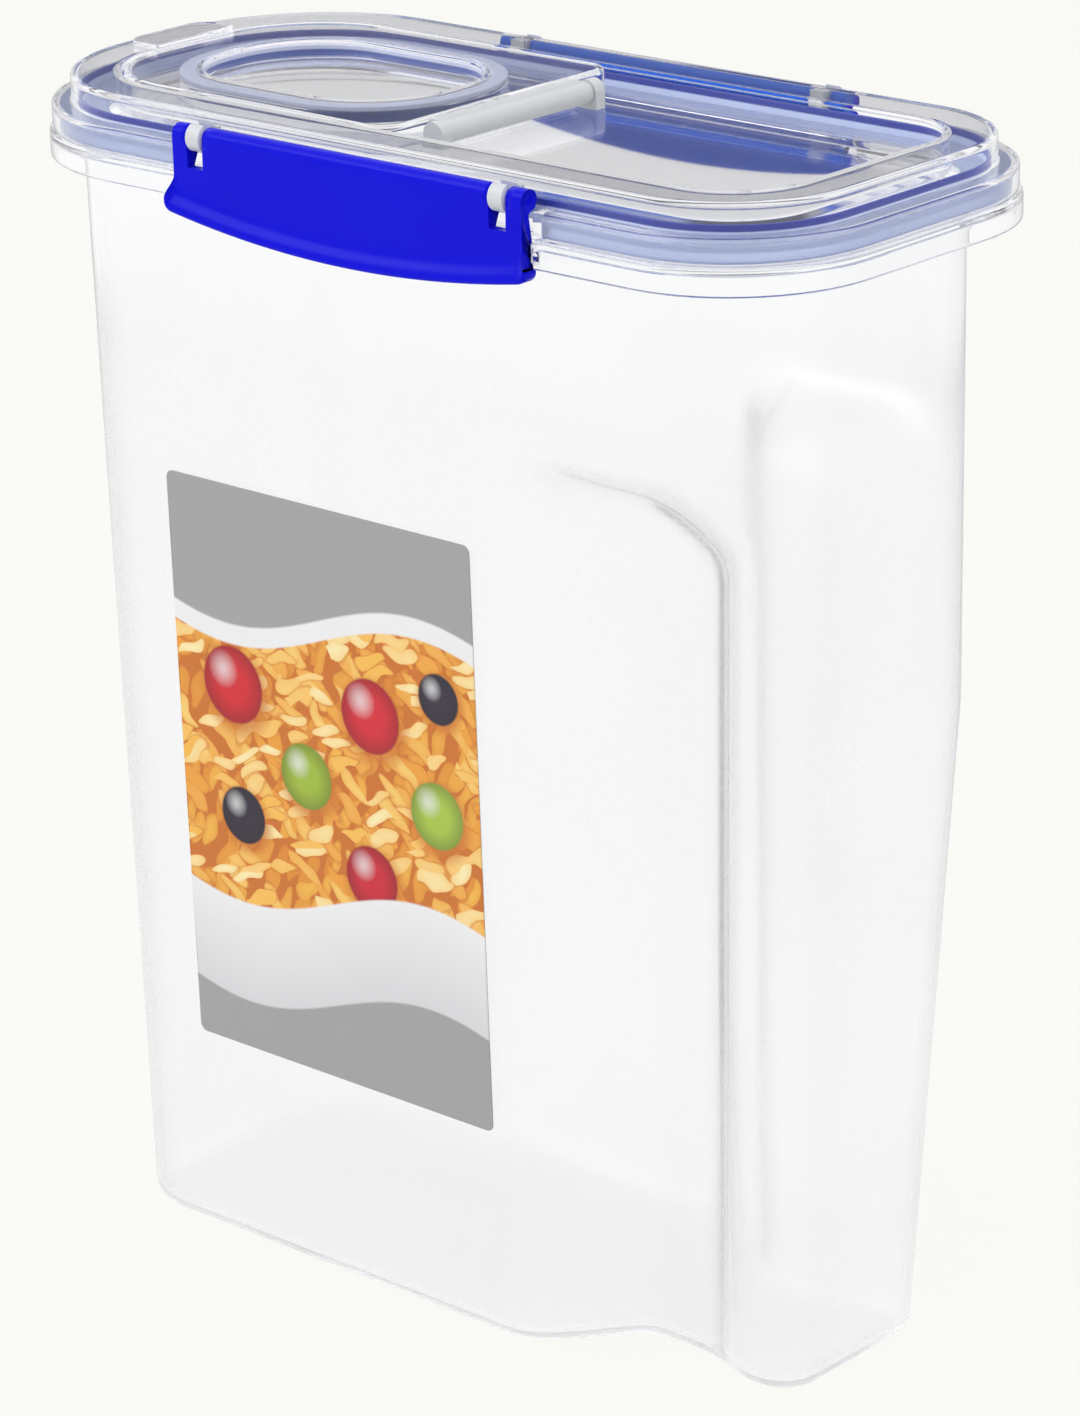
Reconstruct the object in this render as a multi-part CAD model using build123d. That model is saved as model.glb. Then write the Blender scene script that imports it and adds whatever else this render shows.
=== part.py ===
from build123d import *
from math import hypot
import os

# Cereal container with a clip-on lid and a pour flap.
# Millimetres. The origin is the middle of the underside, +Z up. The length runs along X, with the pour
# end at -X and the handle end at +X. The labelled side with the front clip faces -Y.

# Clearances
GAP = 0.3
HINGE_CLEARANCE = 0.05
MERGE = 0.2

# Tub: plan at the rim, wall and floor
RIM_LENGTH = 242.0
RIM_DEPTH = 113.0
RIM_POUR_RADIUS = 47.0
RIM_HANDLE_RADIUS = 36.0
RIM_OVERHANG = 10.5
RIM_TOP = 274.5
WALL = 1.6
FLOOR = 2.2
BASE_EDGE_RADIUS = 4.0

# Tub: how far each wall leans in from the rim down to the base
POUR_END_DRAFT = 6.0
HANDLE_END_DRAFT = 11.0
SIDE_DRAFT = 3.0
BASE_RADIUS = 22.0
POUR_WALL_RADIUS = 30.0

# Tub: taper that narrows the handle end towards the base
TAPER_SLOPE = 0.25
TAPER_BASE_HALF_DEPTH = 23.5
TAPER_RIM_HALF_DEPTH = 52.0
TAPER_BASE_RADIUS = 10.0
TAPER_RIM_RADIUS = 34.0

# Tub: grip recess on each side, a waist between two ramps under an arch that widens outwards
WAIST_HALF_DEPTH = 20.5
WAIST_START_X = 53.0
WAIST_END_X = 78.0
POUR_RAMP_RUN = 28.0
HANDLE_RAMP_RUN = 31.0
POUR_RAMP_RADIUS = 12.0
HANDLE_RAMP_RADIUS = 4.0
ARCH_X = 59.0
ARCH_RADIUS = 29.0
ARCH_SPRING = 180.0
ARCH_SHIFT = 7.0
ARCH_WIDENING = 3.0
ARCH_RISE = 6.0

# Tub: collar below the lid
COLLAR_HEIGHT = 6.0
COLLAR_THICKNESS = 1.6
LIP_HEIGHT = 2.6
CATCH_INSET = 2.5

# Clips
CLIP_X = 3.0
CLIP_LENGTH = 106.0
CLIP_THICKNESS = 2.4
CLIP_DROP = 17.5
CLIP_BOW = 5.0
CLIP_CORNER = 3.0
CLIP_SIDE_GAP = 1.5
CLIP_BARREL_RADIUS = 2.6
CLIP_BAR_RADIUS = 1.6
CLIP_BAR_INSET = 1.5
CLIP_BAR_RISE = 2.0
CLIP_LIP_HEIGHT = 3.0
CLIP_LIP_REACH = 2.0
CATCH_HEIGHT = 3.0
CATCH_NOSE = 1.0
CATCH_REACH = 2.6
CATCH_END_GAP = 8.0
LUG_END_DISTANCE = 7.0
LUG_WIDTH = 4.0
LUG_WALL = 1.7
LUG_SLOT = 2.4
LUG_SIDE_GAP = 0.5
LUG_NOTCH_DEPTH = 6.8

# Lid: sections of its ring, each inset measured inwards from the rim's outline
LID_BAND_HEIGHT = 6.2
LID_BAND_INSET = 0.8
LID_RISE = 6.5
LID_WALL = 1.4
LID_STEP_INSET = 5.5
LAND_WIDTH = 12.0
LAND_EDGE_RADIUS = 1.3
PANEL_SINK = 7.0
PANEL_THICKNESS = 1.5

# Lid seal
SEAL_BAND = 2.0
SEAL_WEB_WIDTH = 11.5

# Pour opening and flap
MOUTH_END_MARGIN = 12.5
MOUTH_LENGTH = 78.0
MOUTH_DEPTH = 56.0
MOUTH_RADIUS = 26.0
MOUTH_COLLAR = 1.6
MOUTH_COLLAR_HEIGHT = 3.8
FLAP_GAP = 0.6
FLAP_WALL = 1.4
FLAP_END_MARGIN = 11.6
FLAP_CORNER = 6.0
FLAP_HINGE_REACH = 3.6
FLAP_HINGE_DROP = 3.2
FLAP_BARREL_RADIUS = 2.6
FLAP_BARREL_LENGTH = 48.0
TRUNNION_RADIUS = 1.5
EAR_WIDTH = 3.0
EAR_WALL = 1.45
DISH_DEPTH = 3.5
FLAP_SEAL_LIP = 2.0
FLAP_SEAL_DROP = 3.0
TAB_WIDTH = 26.0
TAB_REACH = 9.0
TAB_THICKNESS = 1.2
TAB_POST = 1.4

# Label
LABEL_X = -22.5
LABEL_Z = 125.5
LABEL_WIDTH = 97.0
LABEL_HEIGHT = 144.0
LABEL_THICKNESS = 0.3
LABEL_GAP = 0.05
LABEL_CORNER = 2.0

# Heights and places worked out from the sizes above
LIP_TOP = RIM_TOP + LIP_HEIGHT
BAND_BOTTOM = RIM_TOP + GAP
BAND_TOP = BAND_BOTTOM + LID_BAND_HEIGHT
LID_TOP = BAND_TOP + LID_RISE
LAND_UNDERSIDE = LID_TOP - LID_WALL
PANEL_TOP = LID_TOP - PANEL_SINK
PANEL_UNDERSIDE = PANEL_TOP - PANEL_THICKNESS
RECESS_INSET = LID_STEP_INSET + LAND_WIDTH
NOTCH_LENGTH = CLIP_LENGTH + 2 * CLIP_SIDE_GAP
LUG_SPACING = CLIP_LENGTH - 2 * LUG_END_DISTANCE
NOTCH_FACE_Y = RIM_DEPTH / 2 - LID_STEP_INSET
BAR_Y = RIM_DEPTH / 2 - CLIP_BAR_INSET
BAR_Z = BAND_TOP + CLIP_BAR_RISE
MOUTH_X = RECESS_INSET + MOUTH_END_MARGIN + MOUTH_LENGTH / 2 - RIM_LENGTH / 2
MOUTH_COLLAR_TOP = PANEL_TOP + MOUTH_COLLAR_HEIGHT
FLAP_END_X = MOUTH_X + MOUTH_LENGTH / 2 + FLAP_END_MARGIN
FLAP_HINGE_X = FLAP_END_X + FLAP_HINGE_REACH
HINGE_Z = LID_TOP - FLAP_HINGE_DROP
FAR = 2 * RIM_DEPTH


def rounded_plan(left, right, depth, pour_radius, handle_radius):
    """Rectangle between two X values, with its own corner radius at the pour end and at the handle end."""
    plan = Pos((left + right) / 2, 0) * Rectangle(right - left, depth)
    plan = fillet(plan.vertices().group_by(Axis.X)[0], pour_radius)
    return fillet(plan.vertices().group_by(Axis.X)[-1], handle_radius)


def rim_plan(inset):
    """The rim's outline, drawn in by the inset."""
    end = RIM_LENGTH / 2 - inset
    depth = RIM_DEPTH - 2 * inset
    return rounded_plan(-end, end, depth, RIM_POUR_RADIUS - inset, RIM_HANDLE_RADIUS - inset)


def rim_slab(inset, low, high):
    """Solid slab with the rim's outline, drawn in by the inset, between two heights."""
    return extrude(Pos(0, 0, low) * rim_plan(inset), high - low)


def rim_ring(outer_inset, inner_inset, low, high):
    """Ring between two insets of the rim's outline."""
    return rim_slab(outer_inset, low, high) - rim_slab(inner_inset, low, high)


def mouth_slab(inset, low, high):
    """Solid slab with the pour opening's outline, drawn in by the inset."""
    plan = RectangleRounded(MOUTH_LENGTH - 2 * inset, MOUTH_DEPTH - 2 * inset, MOUTH_RADIUS - inset)
    return extrude(Pos(MOUTH_X, 0, low) * plan, high - low)


def mouth_ring(outer_inset, inner_inset, low, high):
    """Ring between two insets of the pour opening's outline."""
    return mouth_slab(outer_inset, low, high) - mouth_slab(inner_inset, low, high)


def clip_notches(inset, end_margin, low, high):
    """The two blocks of space that the clips take out of a rim, outwards from an inset of its outline."""
    face_y = RIM_DEPTH / 2 - inset
    reach = FAR - face_y
    block = Box(NOTCH_LENGTH + 2 * end_margin, reach, high - low)
    middle = (low + high) / 2
    return [Pos(CLIP_X, side * (face_y + reach / 2), middle) * block for side in (-1, 1)]


def lean(height):
    """Share of the walls' full lean that is left at a height."""
    return 1 - height / RIM_TOP


def pour_end_x(height):
    return -(RIM_LENGTH / 2 - RIM_OVERHANG) + POUR_END_DRAFT * lean(height)


def handle_end_x(height):
    return RIM_LENGTH / 2 - RIM_OVERHANG - HANDLE_END_DRAFT * lean(height)


def side_y(height):
    return RIM_DEPTH / 2 - RIM_OVERHANG - SIDE_DRAFT * lean(height)


def wall_plan(height, inset):
    """Plan of the drafted walls at a height, drawn in by the inset; the taper then trims its handle end."""
    left = pour_end_x(height) + inset
    right = handle_end_x(height) + MERGE - inset
    depth = 2 * (side_y(height) - inset)
    pour_radius = POUR_WALL_RADIUS + (BASE_RADIUS - POUR_WALL_RADIUS) * lean(height) - inset
    top_radius = RIM_HANDLE_RADIUS - RIM_OVERHANG
    handle_radius = top_radius + (BASE_RADIUS - top_radius) * lean(height) - inset
    return Pos(0, 0, height) * rounded_plan(left, right, depth, pour_radius, handle_radius)


def taper_plan(height, inset):
    """Plan of the space that the handle end narrows into: a trapezoid with two rounded corners."""
    base_share = lean(height)
    half_depth = TAPER_RIM_HALF_DEPTH + (TAPER_BASE_HALF_DEPTH - TAPER_RIM_HALF_DEPTH) * base_share
    half_depth -= inset * (hypot(1, TAPER_SLOPE) - TAPER_SLOPE)
    radius = TAPER_RIM_RADIUS + (TAPER_BASE_RADIUS - TAPER_RIM_RADIUS) * base_share - inset
    right = handle_end_x(height) - inset
    left = -RIM_LENGTH
    wide = half_depth + TAPER_SLOPE * (right - left)
    corners = [(left, -wide), (right, -half_depth), (right, half_depth), (left, wide)]
    plan = make_face(Polyline(*corners, close=True))
    return Pos(0, 0, height) * fillet(plan.vertices().group_by(Axis.X)[-1], radius)


def arch_face(depth, grow):
    """Upright face of the recess's arch at a depth from the middle; the arch widens and rises outwards."""
    share = (depth - WAIST_HALF_DEPTH) / (side_y(RIM_TOP) - WAIST_HALF_DEPTH)
    radius = ARCH_RADIUS + ARCH_WIDENING * share + grow
    spring = ARCH_SPRING + ARCH_RISE * share
    left, right = (-radius, spring), (radius, spring)
    arch = ThreePointArc(left, (0, spring + radius), right)
    legs = Polyline(right, (radius, -GAP), (-radius, -GAP), left)
    return Plane.XZ * Pos(ARCH_X + ARCH_SHIFT * share, 0, -depth) * make_face(arch + legs)


def grip_recess(side, grow):
    """Space of one grip recess, grown by a wall: a waist between two ramps in plan, under an arch."""
    outside = RIM_DEPTH
    runs = (outside - WAIST_HALF_DEPTH) / (RIM_DEPTH / 2 - WAIST_HALF_DEPTH)
    path = FilletPolyline(
        (WAIST_START_X - POUR_RAMP_RUN * runs, outside),
        (WAIST_START_X, WAIST_HALF_DEPTH),
        (WAIST_END_X, WAIST_HALF_DEPTH),
        (WAIST_END_X + HANDLE_RAMP_RUN * runs, outside),
        radius=(POUR_RAMP_RADIUS, HANDLE_RAMP_RADIUS),
    )
    plan = make_face(path + Line(path @ 1, path @ 0))
    if grow:
        plan = offset(plan, amount=grow)
    waist = extrude(Pos(0, 0, -GAP) * plan, RIM_TOP)
    recess = waist & loft([arch_face(0, grow), arch_face(outside, grow)])
    return recess if side > 0 else mirror(recess, Plane.XZ)


def tub_form(inset, floor):
    """Tub as a solid form: drafted walls, tapered handle end and grip recesses, drawn in by the inset."""
    form = loft([wall_plan(floor, inset), wall_plan(RIM_TOP, inset)])
    form &= loft([taper_plan(floor, inset), taper_plan(RIM_TOP, inset)])
    form = fillet(form.edges().group_by(Axis.Z)[0], BASE_EDGE_RADIUS - inset)
    for side in (-1, 1):
        form -= grip_recess(side, inset)
    return form


def make_tub():
    tub = tub_form(0, 0) - tub_form(WALL, FLOOR)
    collar_bottom = RIM_TOP - COLLAR_HEIGHT
    collar = rim_ring(0, RIM_OVERHANG, RIM_TOP - COLLAR_THICKNESS, RIM_TOP)
    collar += rim_ring(0, COLLAR_THICKNESS, collar_bottom, RIM_TOP)
    for notch in clip_notches(CATCH_INSET, 0, collar_bottom, RIM_TOP):
        collar -= notch
    lip = rim_ring(RIM_OVERHANG, RIM_OVERHANG + WALL, RIM_TOP - COLLAR_THICKNESS, LIP_TOP)
    return tub + collar + lip


def clip_lug(x, side):
    """Hook on the lid that holds a clip's bar, open at the top where the bar snaps in."""
    radius = CLIP_BAR_RADIUS + HINGE_CLEARANCE + LUG_WALL
    reach = BAR_Y - NOTCH_FACE_Y + MERGE
    lug = Rot(0, 90, 0) * Cylinder(radius, LUG_WIDTH)
    lug += Pos(0, -reach / 2, 0) * Box(LUG_WIDTH, reach, 2 * radius)
    lug -= Rot(0, 90, 0) * Cylinder(CLIP_BAR_RADIUS + HINGE_CLEARANCE, LUG_WIDTH)
    lug -= Pos(0, 0, radius) * Box(LUG_WIDTH, LUG_SLOT, 2 * radius)
    lug = Pos(x, BAR_Y, BAR_Z) * lug
    return lug if side > 0 else mirror(lug, Plane.XZ)


def flap_ear(side):
    """Ear on the lid's panel that holds one trunnion of the flap."""
    radius = TRUNNION_RADIUS + HINGE_CLEARANCE + EAR_WALL
    height = HINGE_Z - PANEL_TOP + MERGE
    ear = Rot(90, 0, 0) * Cylinder(radius, EAR_WIDTH)
    ear += Pos(0, 0, -height / 2) * Box(2 * radius, EAR_WIDTH, height)
    ear -= Rot(90, 0, 0) * Cylinder(TRUNNION_RADIUS + HINGE_CLEARANCE, EAR_WIDTH)
    y = side * (FLAP_BARREL_LENGTH / 2 + GAP + EAR_WIDTH / 2)
    return Pos(FLAP_HINGE_X, y, HINGE_Z) * ear


def make_lid():
    lid = rim_slab(LID_STEP_INSET, BAND_TOP - LID_WALL, LID_TOP)
    lid = fillet(lid.edges().group_by(Axis.Z)[-1], LAND_EDGE_RADIUS)
    lid -= rim_ring(LID_STEP_INSET + LID_WALL, RECESS_INSET - LID_WALL, BAND_TOP - LID_WALL, LAND_UNDERSIDE)
    lid -= rim_slab(RECESS_INSET, BAND_TOP - LID_WALL, LID_TOP)
    lid += rim_ring(RECESS_INSET - LID_WALL, RECESS_INSET, PANEL_UNDERSIDE, LAND_UNDERSIDE)
    lid += rim_slab(RECESS_INSET - LID_WALL, PANEL_UNDERSIDE, PANEL_TOP)
    band = rim_ring(LID_BAND_INSET, LID_BAND_INSET + LID_WALL, BAND_BOTTOM, BAND_TOP)
    band += rim_ring(LID_BAND_INSET, LID_STEP_INSET + LID_WALL, BAND_TOP - LID_WALL, BAND_TOP)
    for notch in clip_notches(LID_STEP_INSET, 0, BAND_BOTTOM, BAND_TOP):
        band -= notch
    lid += band
    for side in (-1, 1):
        middle_y = side * (NOTCH_FACE_Y - LID_WALL / 2)
        notch_wall = Box(NOTCH_LENGTH + 2 * LID_WALL, LID_WALL, LID_BAND_HEIGHT)
        lid += Pos(CLIP_X, middle_y, (BAND_BOTTOM + BAND_TOP) / 2) * notch_wall
        for end in (-1, 1):
            end_reach = RIM_DEPTH / 2 - LID_BAND_INSET - NOTCH_FACE_Y + LID_WALL
            end_y = side * (NOTCH_FACE_Y - LID_WALL + end_reach / 2)
            end_wall = Box(LID_WALL, end_reach, LID_BAND_HEIGHT)
            end_x = CLIP_X + end * (NOTCH_LENGTH + LID_WALL) / 2
            lid += Pos(end_x, end_y, (BAND_BOTTOM + BAND_TOP) / 2) * end_wall
            lid += clip_lug(CLIP_X + end * LUG_SPACING / 2, side)
        lid += flap_ear(side)
    lid += mouth_slab(-MOUTH_COLLAR, PANEL_UNDERSIDE, MOUTH_COLLAR_TOP)
    return lid - mouth_slab(0, PANEL_UNDERSIDE, MOUTH_COLLAR_TOP)


def make_lid_seal():
    outer = LID_BAND_INSET + LID_WALL + GAP
    top = BAND_TOP - LID_WALL - GAP
    seal = rim_ring(outer, outer + SEAL_BAND, BAND_BOTTOM + GAP, top)
    seal += rim_ring(outer, outer + SEAL_WEB_WIDTH, LIP_TOP + GAP, top)
    for notch in clip_notches(LID_STEP_INSET + LID_WALL + GAP, LID_WALL + GAP, BAND_BOTTOM, top):
        seal -= notch
    return seal


def make_flap():
    plan = rim_plan(RECESS_INSET + FLAP_GAP)
    plan -= Pos(FLAP_END_X + RIM_LENGTH / 2, 0) * Rectangle(RIM_LENGTH, RIM_DEPTH)
    plan = fillet(plan.vertices().group_by(Axis.X)[-1], FLAP_CORNER)
    skirt_bottom = PANEL_TOP + FLAP_GAP
    shell = extrude(Pos(0, 0, skirt_bottom) * plan, LID_TOP - skirt_bottom)
    shell = fillet(shell.edges().group_by(Axis.Z)[-1], LAND_EDGE_RADIUS)
    hollow = offset(plan, amount=-FLAP_WALL)
    flap = shell - extrude(Pos(0, 0, skirt_bottom) * hollow, LAND_UNDERSIDE - skirt_bottom)
    dish_inset = GAP + FLAP_SEAL_LIP + GAP
    dish_bottom = LAND_UNDERSIDE - DISH_DEPTH
    flap += mouth_slab(dish_inset, dish_bottom, LID_TOP - LAND_EDGE_RADIUS)
    flap -= mouth_slab(dish_inset + FLAP_WALL, dish_bottom + FLAP_WALL, LID_TOP)
    hinge = Rot(90, 0, 0) * Cylinder(FLAP_BARREL_RADIUS, FLAP_BARREL_LENGTH)
    web = FLAP_HINGE_X - FLAP_END_X + FLAP_WALL / 2
    hinge += Pos(-web / 2, 0, FLAP_BARREL_RADIUS / 2) * Box(web, FLAP_BARREL_LENGTH, FLAP_BARREL_RADIUS)
    hinge += Rot(90, 0, 0) * Cylinder(TRUNNION_RADIUS, FLAP_BARREL_LENGTH + 2 * (GAP + EAR_WIDTH))
    flap += Pos(FLAP_HINGE_X, 0, HINGE_Z) * hinge
    end_x = -(RIM_LENGTH / 2 - RECESS_INSET - FLAP_GAP)
    post_height = LAND_EDGE_RADIUS + GAP + TAB_THICKNESS
    post = Box(TAB_POST, TAB_WIDTH, post_height)
    tab = Pos(end_x + FLAP_WALL, 0, LID_TOP - LAND_EDGE_RADIUS + post_height / 2) * post
    tab_end_x = end_x + FLAP_WALL + TAB_POST / 2
    tab_length = TAB_REACH + tab_end_x - end_x
    tab_plate = Box(tab_length, TAB_WIDTH, TAB_THICKNESS)
    tab += Pos(tab_end_x - tab_length / 2, 0, LID_TOP + GAP + TAB_THICKNESS / 2) * tab_plate
    return flap + tab


def make_flap_seal():
    top = LAND_UNDERSIDE - GAP
    seal = mouth_ring(GAP, GAP + FLAP_SEAL_LIP, MOUTH_COLLAR_TOP + GAP - FLAP_SEAL_DROP, top)
    return seal + mouth_ring(-MOUTH_COLLAR, GAP + FLAP_SEAL_LIP, MOUTH_COLLAR_TOP + GAP, top)


def clip_outline(raise_by):
    """Face of the clip seen from the front: straight top, rounded ends and a bowed lower edge."""
    half = CLIP_LENGTH / 2
    low = BAR_Z - CLIP_DROP + raise_by
    edge = ThreePointArc((-half, low), (0, low - CLIP_BOW), (half, low))
    sides = Polyline((half, low), (half, BAR_Z + raise_by), (-half, BAR_Z + raise_by), (-half, low))
    face = make_face(edge + sides)
    corners = face.vertices().filter_by_position(Axis.Y, low - MERGE, low + MERGE)
    return fillet(corners, CLIP_CORNER)


def make_clip(side):
    back_y = BAR_Y + CLIP_BARREL_RADIUS - CLIP_THICKNESS
    upright = Plane.XZ * Pos(0, 0, -back_y)
    clip = extrude(upright * clip_outline(0), -CLIP_THICKNESS)
    lip = extrude(upright * clip_outline(0), -CLIP_THICKNESS - CLIP_LIP_REACH)
    lip -= extrude(upright * clip_outline(CLIP_LIP_HEIGHT), -CLIP_THICKNESS - CLIP_LIP_REACH)
    clip += lip & Pos(0, 0, BAR_Z - CLIP_DROP) * Box(CLIP_LENGTH, FAR, CLIP_DROP)
    clip += Pos(0, BAR_Y, BAR_Z) * Rot(0, 90, 0) * Cylinder(CLIP_BARREL_RADIUS, CLIP_LENGTH)
    catch_top = RIM_TOP - COLLAR_THICKNESS - GAP
    catch_profile = Polyline(
        (back_y, catch_top),
        (back_y - CATCH_REACH, catch_top),
        (back_y - CATCH_REACH, catch_top - CATCH_NOSE),
        (back_y, catch_top - CATCH_HEIGHT),
        close=True,
    )
    catch_length = CLIP_LENGTH - 2 * CATCH_END_GAP
    clip += Pos(-catch_length / 2, 0, 0) * extrude(Plane.YZ * make_face(catch_profile), catch_length)
    notch_height = CLIP_BARREL_RADIUS + LUG_NOTCH_DEPTH
    for end in (-1, 1):
        notch = Box(LUG_WIDTH + 2 * LUG_SIDE_GAP, FAR, notch_height)
        clip -= Pos(end * LUG_SPACING / 2, 0, BAR_Z + CLIP_BARREL_RADIUS - notch_height / 2) * notch
    clip += Pos(0, BAR_Y, BAR_Z) * Rot(0, 90, 0) * Cylinder(CLIP_BAR_RADIUS, CLIP_LENGTH)
    clip = Pos(CLIP_X, 0, 0) * clip
    return clip if side > 0 else mirror(clip, Plane.XZ)


def make_label():
    """Thin card that lies along the drafted front wall."""
    wall_low = Vector(LABEL_X, -side_y(0), 0)
    wall_high = Vector(LABEL_X, -side_y(RIM_TOP), RIM_TOP)
    up = (wall_high - wall_low).normalized()
    outwards = Vector(1, 0, 0).cross(up)
    middle = wall_low + (wall_high - wall_low) * (LABEL_Z / RIM_TOP)
    face = Plane(middle + outwards * LABEL_GAP, x_dir=(1, 0, 0), z_dir=outwards)
    return extrude(face * RectangleRounded(LABEL_WIDTH, LABEL_HEIGHT, LABEL_CORNER), LABEL_THICKNESS)


PIECES = {
    "tub": make_tub(),
    "lid": make_lid(),
    "lid_seal": make_lid_seal(),
    "flap": make_flap(),
    "flap_seal": make_flap_seal(),
    "front_clip": make_clip(-1),
    "rear_clip": make_clip(1),
    "label": make_label(),
}

os.makedirs("parts", exist_ok=True)
for name, piece in PIECES.items():
    export_step(piece, f"parts/{name}.step")
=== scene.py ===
"""Upright food keeper: clear tub, clear lid with a pour flap, two blue side clips and a printed card.

Every size of a piece is in millimetres and is turned into metres only when its mesh is written. The frame is
the CAD's: the origin is the middle of the underside, +Z up, +X towards the handle end, -Y towards the card.
"""
from __future__ import annotations

import logging
from dataclasses import dataclass, replace
from enum import Enum
from typing import Sequence

import bpy
import numpy as np
from mathutils import Matrix, Vector

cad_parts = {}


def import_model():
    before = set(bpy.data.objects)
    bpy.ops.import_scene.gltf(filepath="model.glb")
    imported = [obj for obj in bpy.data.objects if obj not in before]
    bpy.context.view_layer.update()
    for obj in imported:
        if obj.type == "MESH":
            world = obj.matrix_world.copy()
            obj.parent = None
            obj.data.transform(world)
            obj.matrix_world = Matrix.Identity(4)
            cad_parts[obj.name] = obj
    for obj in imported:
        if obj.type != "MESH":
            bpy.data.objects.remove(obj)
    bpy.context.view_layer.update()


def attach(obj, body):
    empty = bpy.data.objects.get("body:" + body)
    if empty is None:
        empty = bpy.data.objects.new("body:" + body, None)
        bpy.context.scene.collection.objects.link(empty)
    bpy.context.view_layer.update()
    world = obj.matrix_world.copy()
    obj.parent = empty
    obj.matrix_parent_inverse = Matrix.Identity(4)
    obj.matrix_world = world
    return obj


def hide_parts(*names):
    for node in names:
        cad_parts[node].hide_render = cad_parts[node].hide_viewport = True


LOG = logging.getLogger("keeper")
MM = 0.001
TINY = 1e-9
LONGEST_REACH = 0.28
FLAT_REACH = 1.5
NOISE_RANGE = (0.3, 0.7)

Array = np.ndarray
Corner = tuple[Array, float]
Socket = bpy.types.NodeSocket
Colour = tuple[float, float, float]
Vector3 = tuple[float, float, float]


class Body(Enum):
    """The moving bodies of the frame that a piece can ride on."""

    TUB = "tub"
    LID = "lid"
    FLAP = "flap"
    FRONT_CLIP = "front_clip"
    REAR_CLIP = "rear_clip"


class Slot(Enum):
    """The record's material slots."""

    TUB = "clear_tub"
    LID = "clear_lid"
    SEAL = "soft_seal"
    CLIP = "clip_blue"
    LABEL = "label_card"


class Cap(Enum):
    """How an open end of a stack of rings is closed."""

    LADDER = "ladder"
    FAN = "fan"


class Side(Enum):
    """The two long sides of the keeper."""

    FRONT = -1
    REAR = 1


# Surfaces


def smooth_step(value: Array) -> Array:
    """Cubic ease from 0 to 1: three times the square less twice the cube of the clamped value."""
    held = np.clip(value, 0.0, 1.0)
    return held * held * (3.0 - 2.0 * held)


def soft_max(first: Array, second: Array, width: float) -> Array:
    """Larger of two surfaces, with their meeting line rounded over a width.

    The larger value plus a quarter of the width times the square of one less the gap over the width.

    Args:
        first: First height.
        second: Second height.
        width: Difference of height under which the two blend.

    Returns:
        The blended height.
    """
    near = np.clip(1.0 - np.abs(first - second) / width, 0.0, 1.0)
    return np.maximum(first, second) + near * near * width / 4.0


def soft_min(first: Array, second: Array, width: float) -> Array:
    """Smaller of two surfaces with a rounded meeting line: soft_max turned upside down."""
    return -soft_max(-first, -second, width)


def unit(rows: Array) -> Array:
    """Each vector of an array over its own length."""
    return rows / np.maximum(np.linalg.norm(rows, axis=-1, keepdims=True), TINY)


def rounded_rows(corners: Sequence[Corner], closed: bool, steps: int = 4) -> Array:
    """Rows of a surface whose section is a polyline with softened corners.

    Each corner row C becomes a quadratic curve from C + r*a to C + r*b, where a and b are the unit vectors to
    the neighbouring corner rows and r is the reach, held under LONGEST_REACH of the way to either
    neighbour. A further row at FLAT_REACH times r on each side keeps the flat between two corners flat
    under smooth shading.

    Args:
        corners: Corner rows, each an array of points of shape (columns, 3) with the reach of its softening, 0
            for a plain row.
        closed: True if the last corner joins the first.
        steps: Number of steps in each softened corner.

    Returns:
        All rows in order, shape (rows, columns, 3).
    """
    count = len(corners)
    share = np.linspace(0.0, 1.0, steps + 1)[:, None, None]
    rows: list[Array] = []
    for index, (corner, reach) in enumerate(corners):
        at_end = not closed and index in (0, count - 1)
        if at_end or reach <= 0.0:
            rows.append(corner[None])
            continue
        before = corners[(index - 1) % count][0] - corner
        after = corners[(index + 1) % count][0] - corner
        length = np.minimum(np.linalg.norm(before, axis=1), np.linalg.norm(after, axis=1))[:, None]
        held = np.minimum(reach, LONGEST_REACH * length)
        start, finish = corner + unit(before) * held, corner + unit(after) * held
        rows.append((corner + unit(before) * held * FLAT_REACH)[None])
        rows.append((1 - share) ** 2 * start + 2 * share * (1 - share) * corner + share**2 * finish)
        rows.append((corner + unit(after) * held * FLAT_REACH)[None])
    return np.concatenate(rows)


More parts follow.
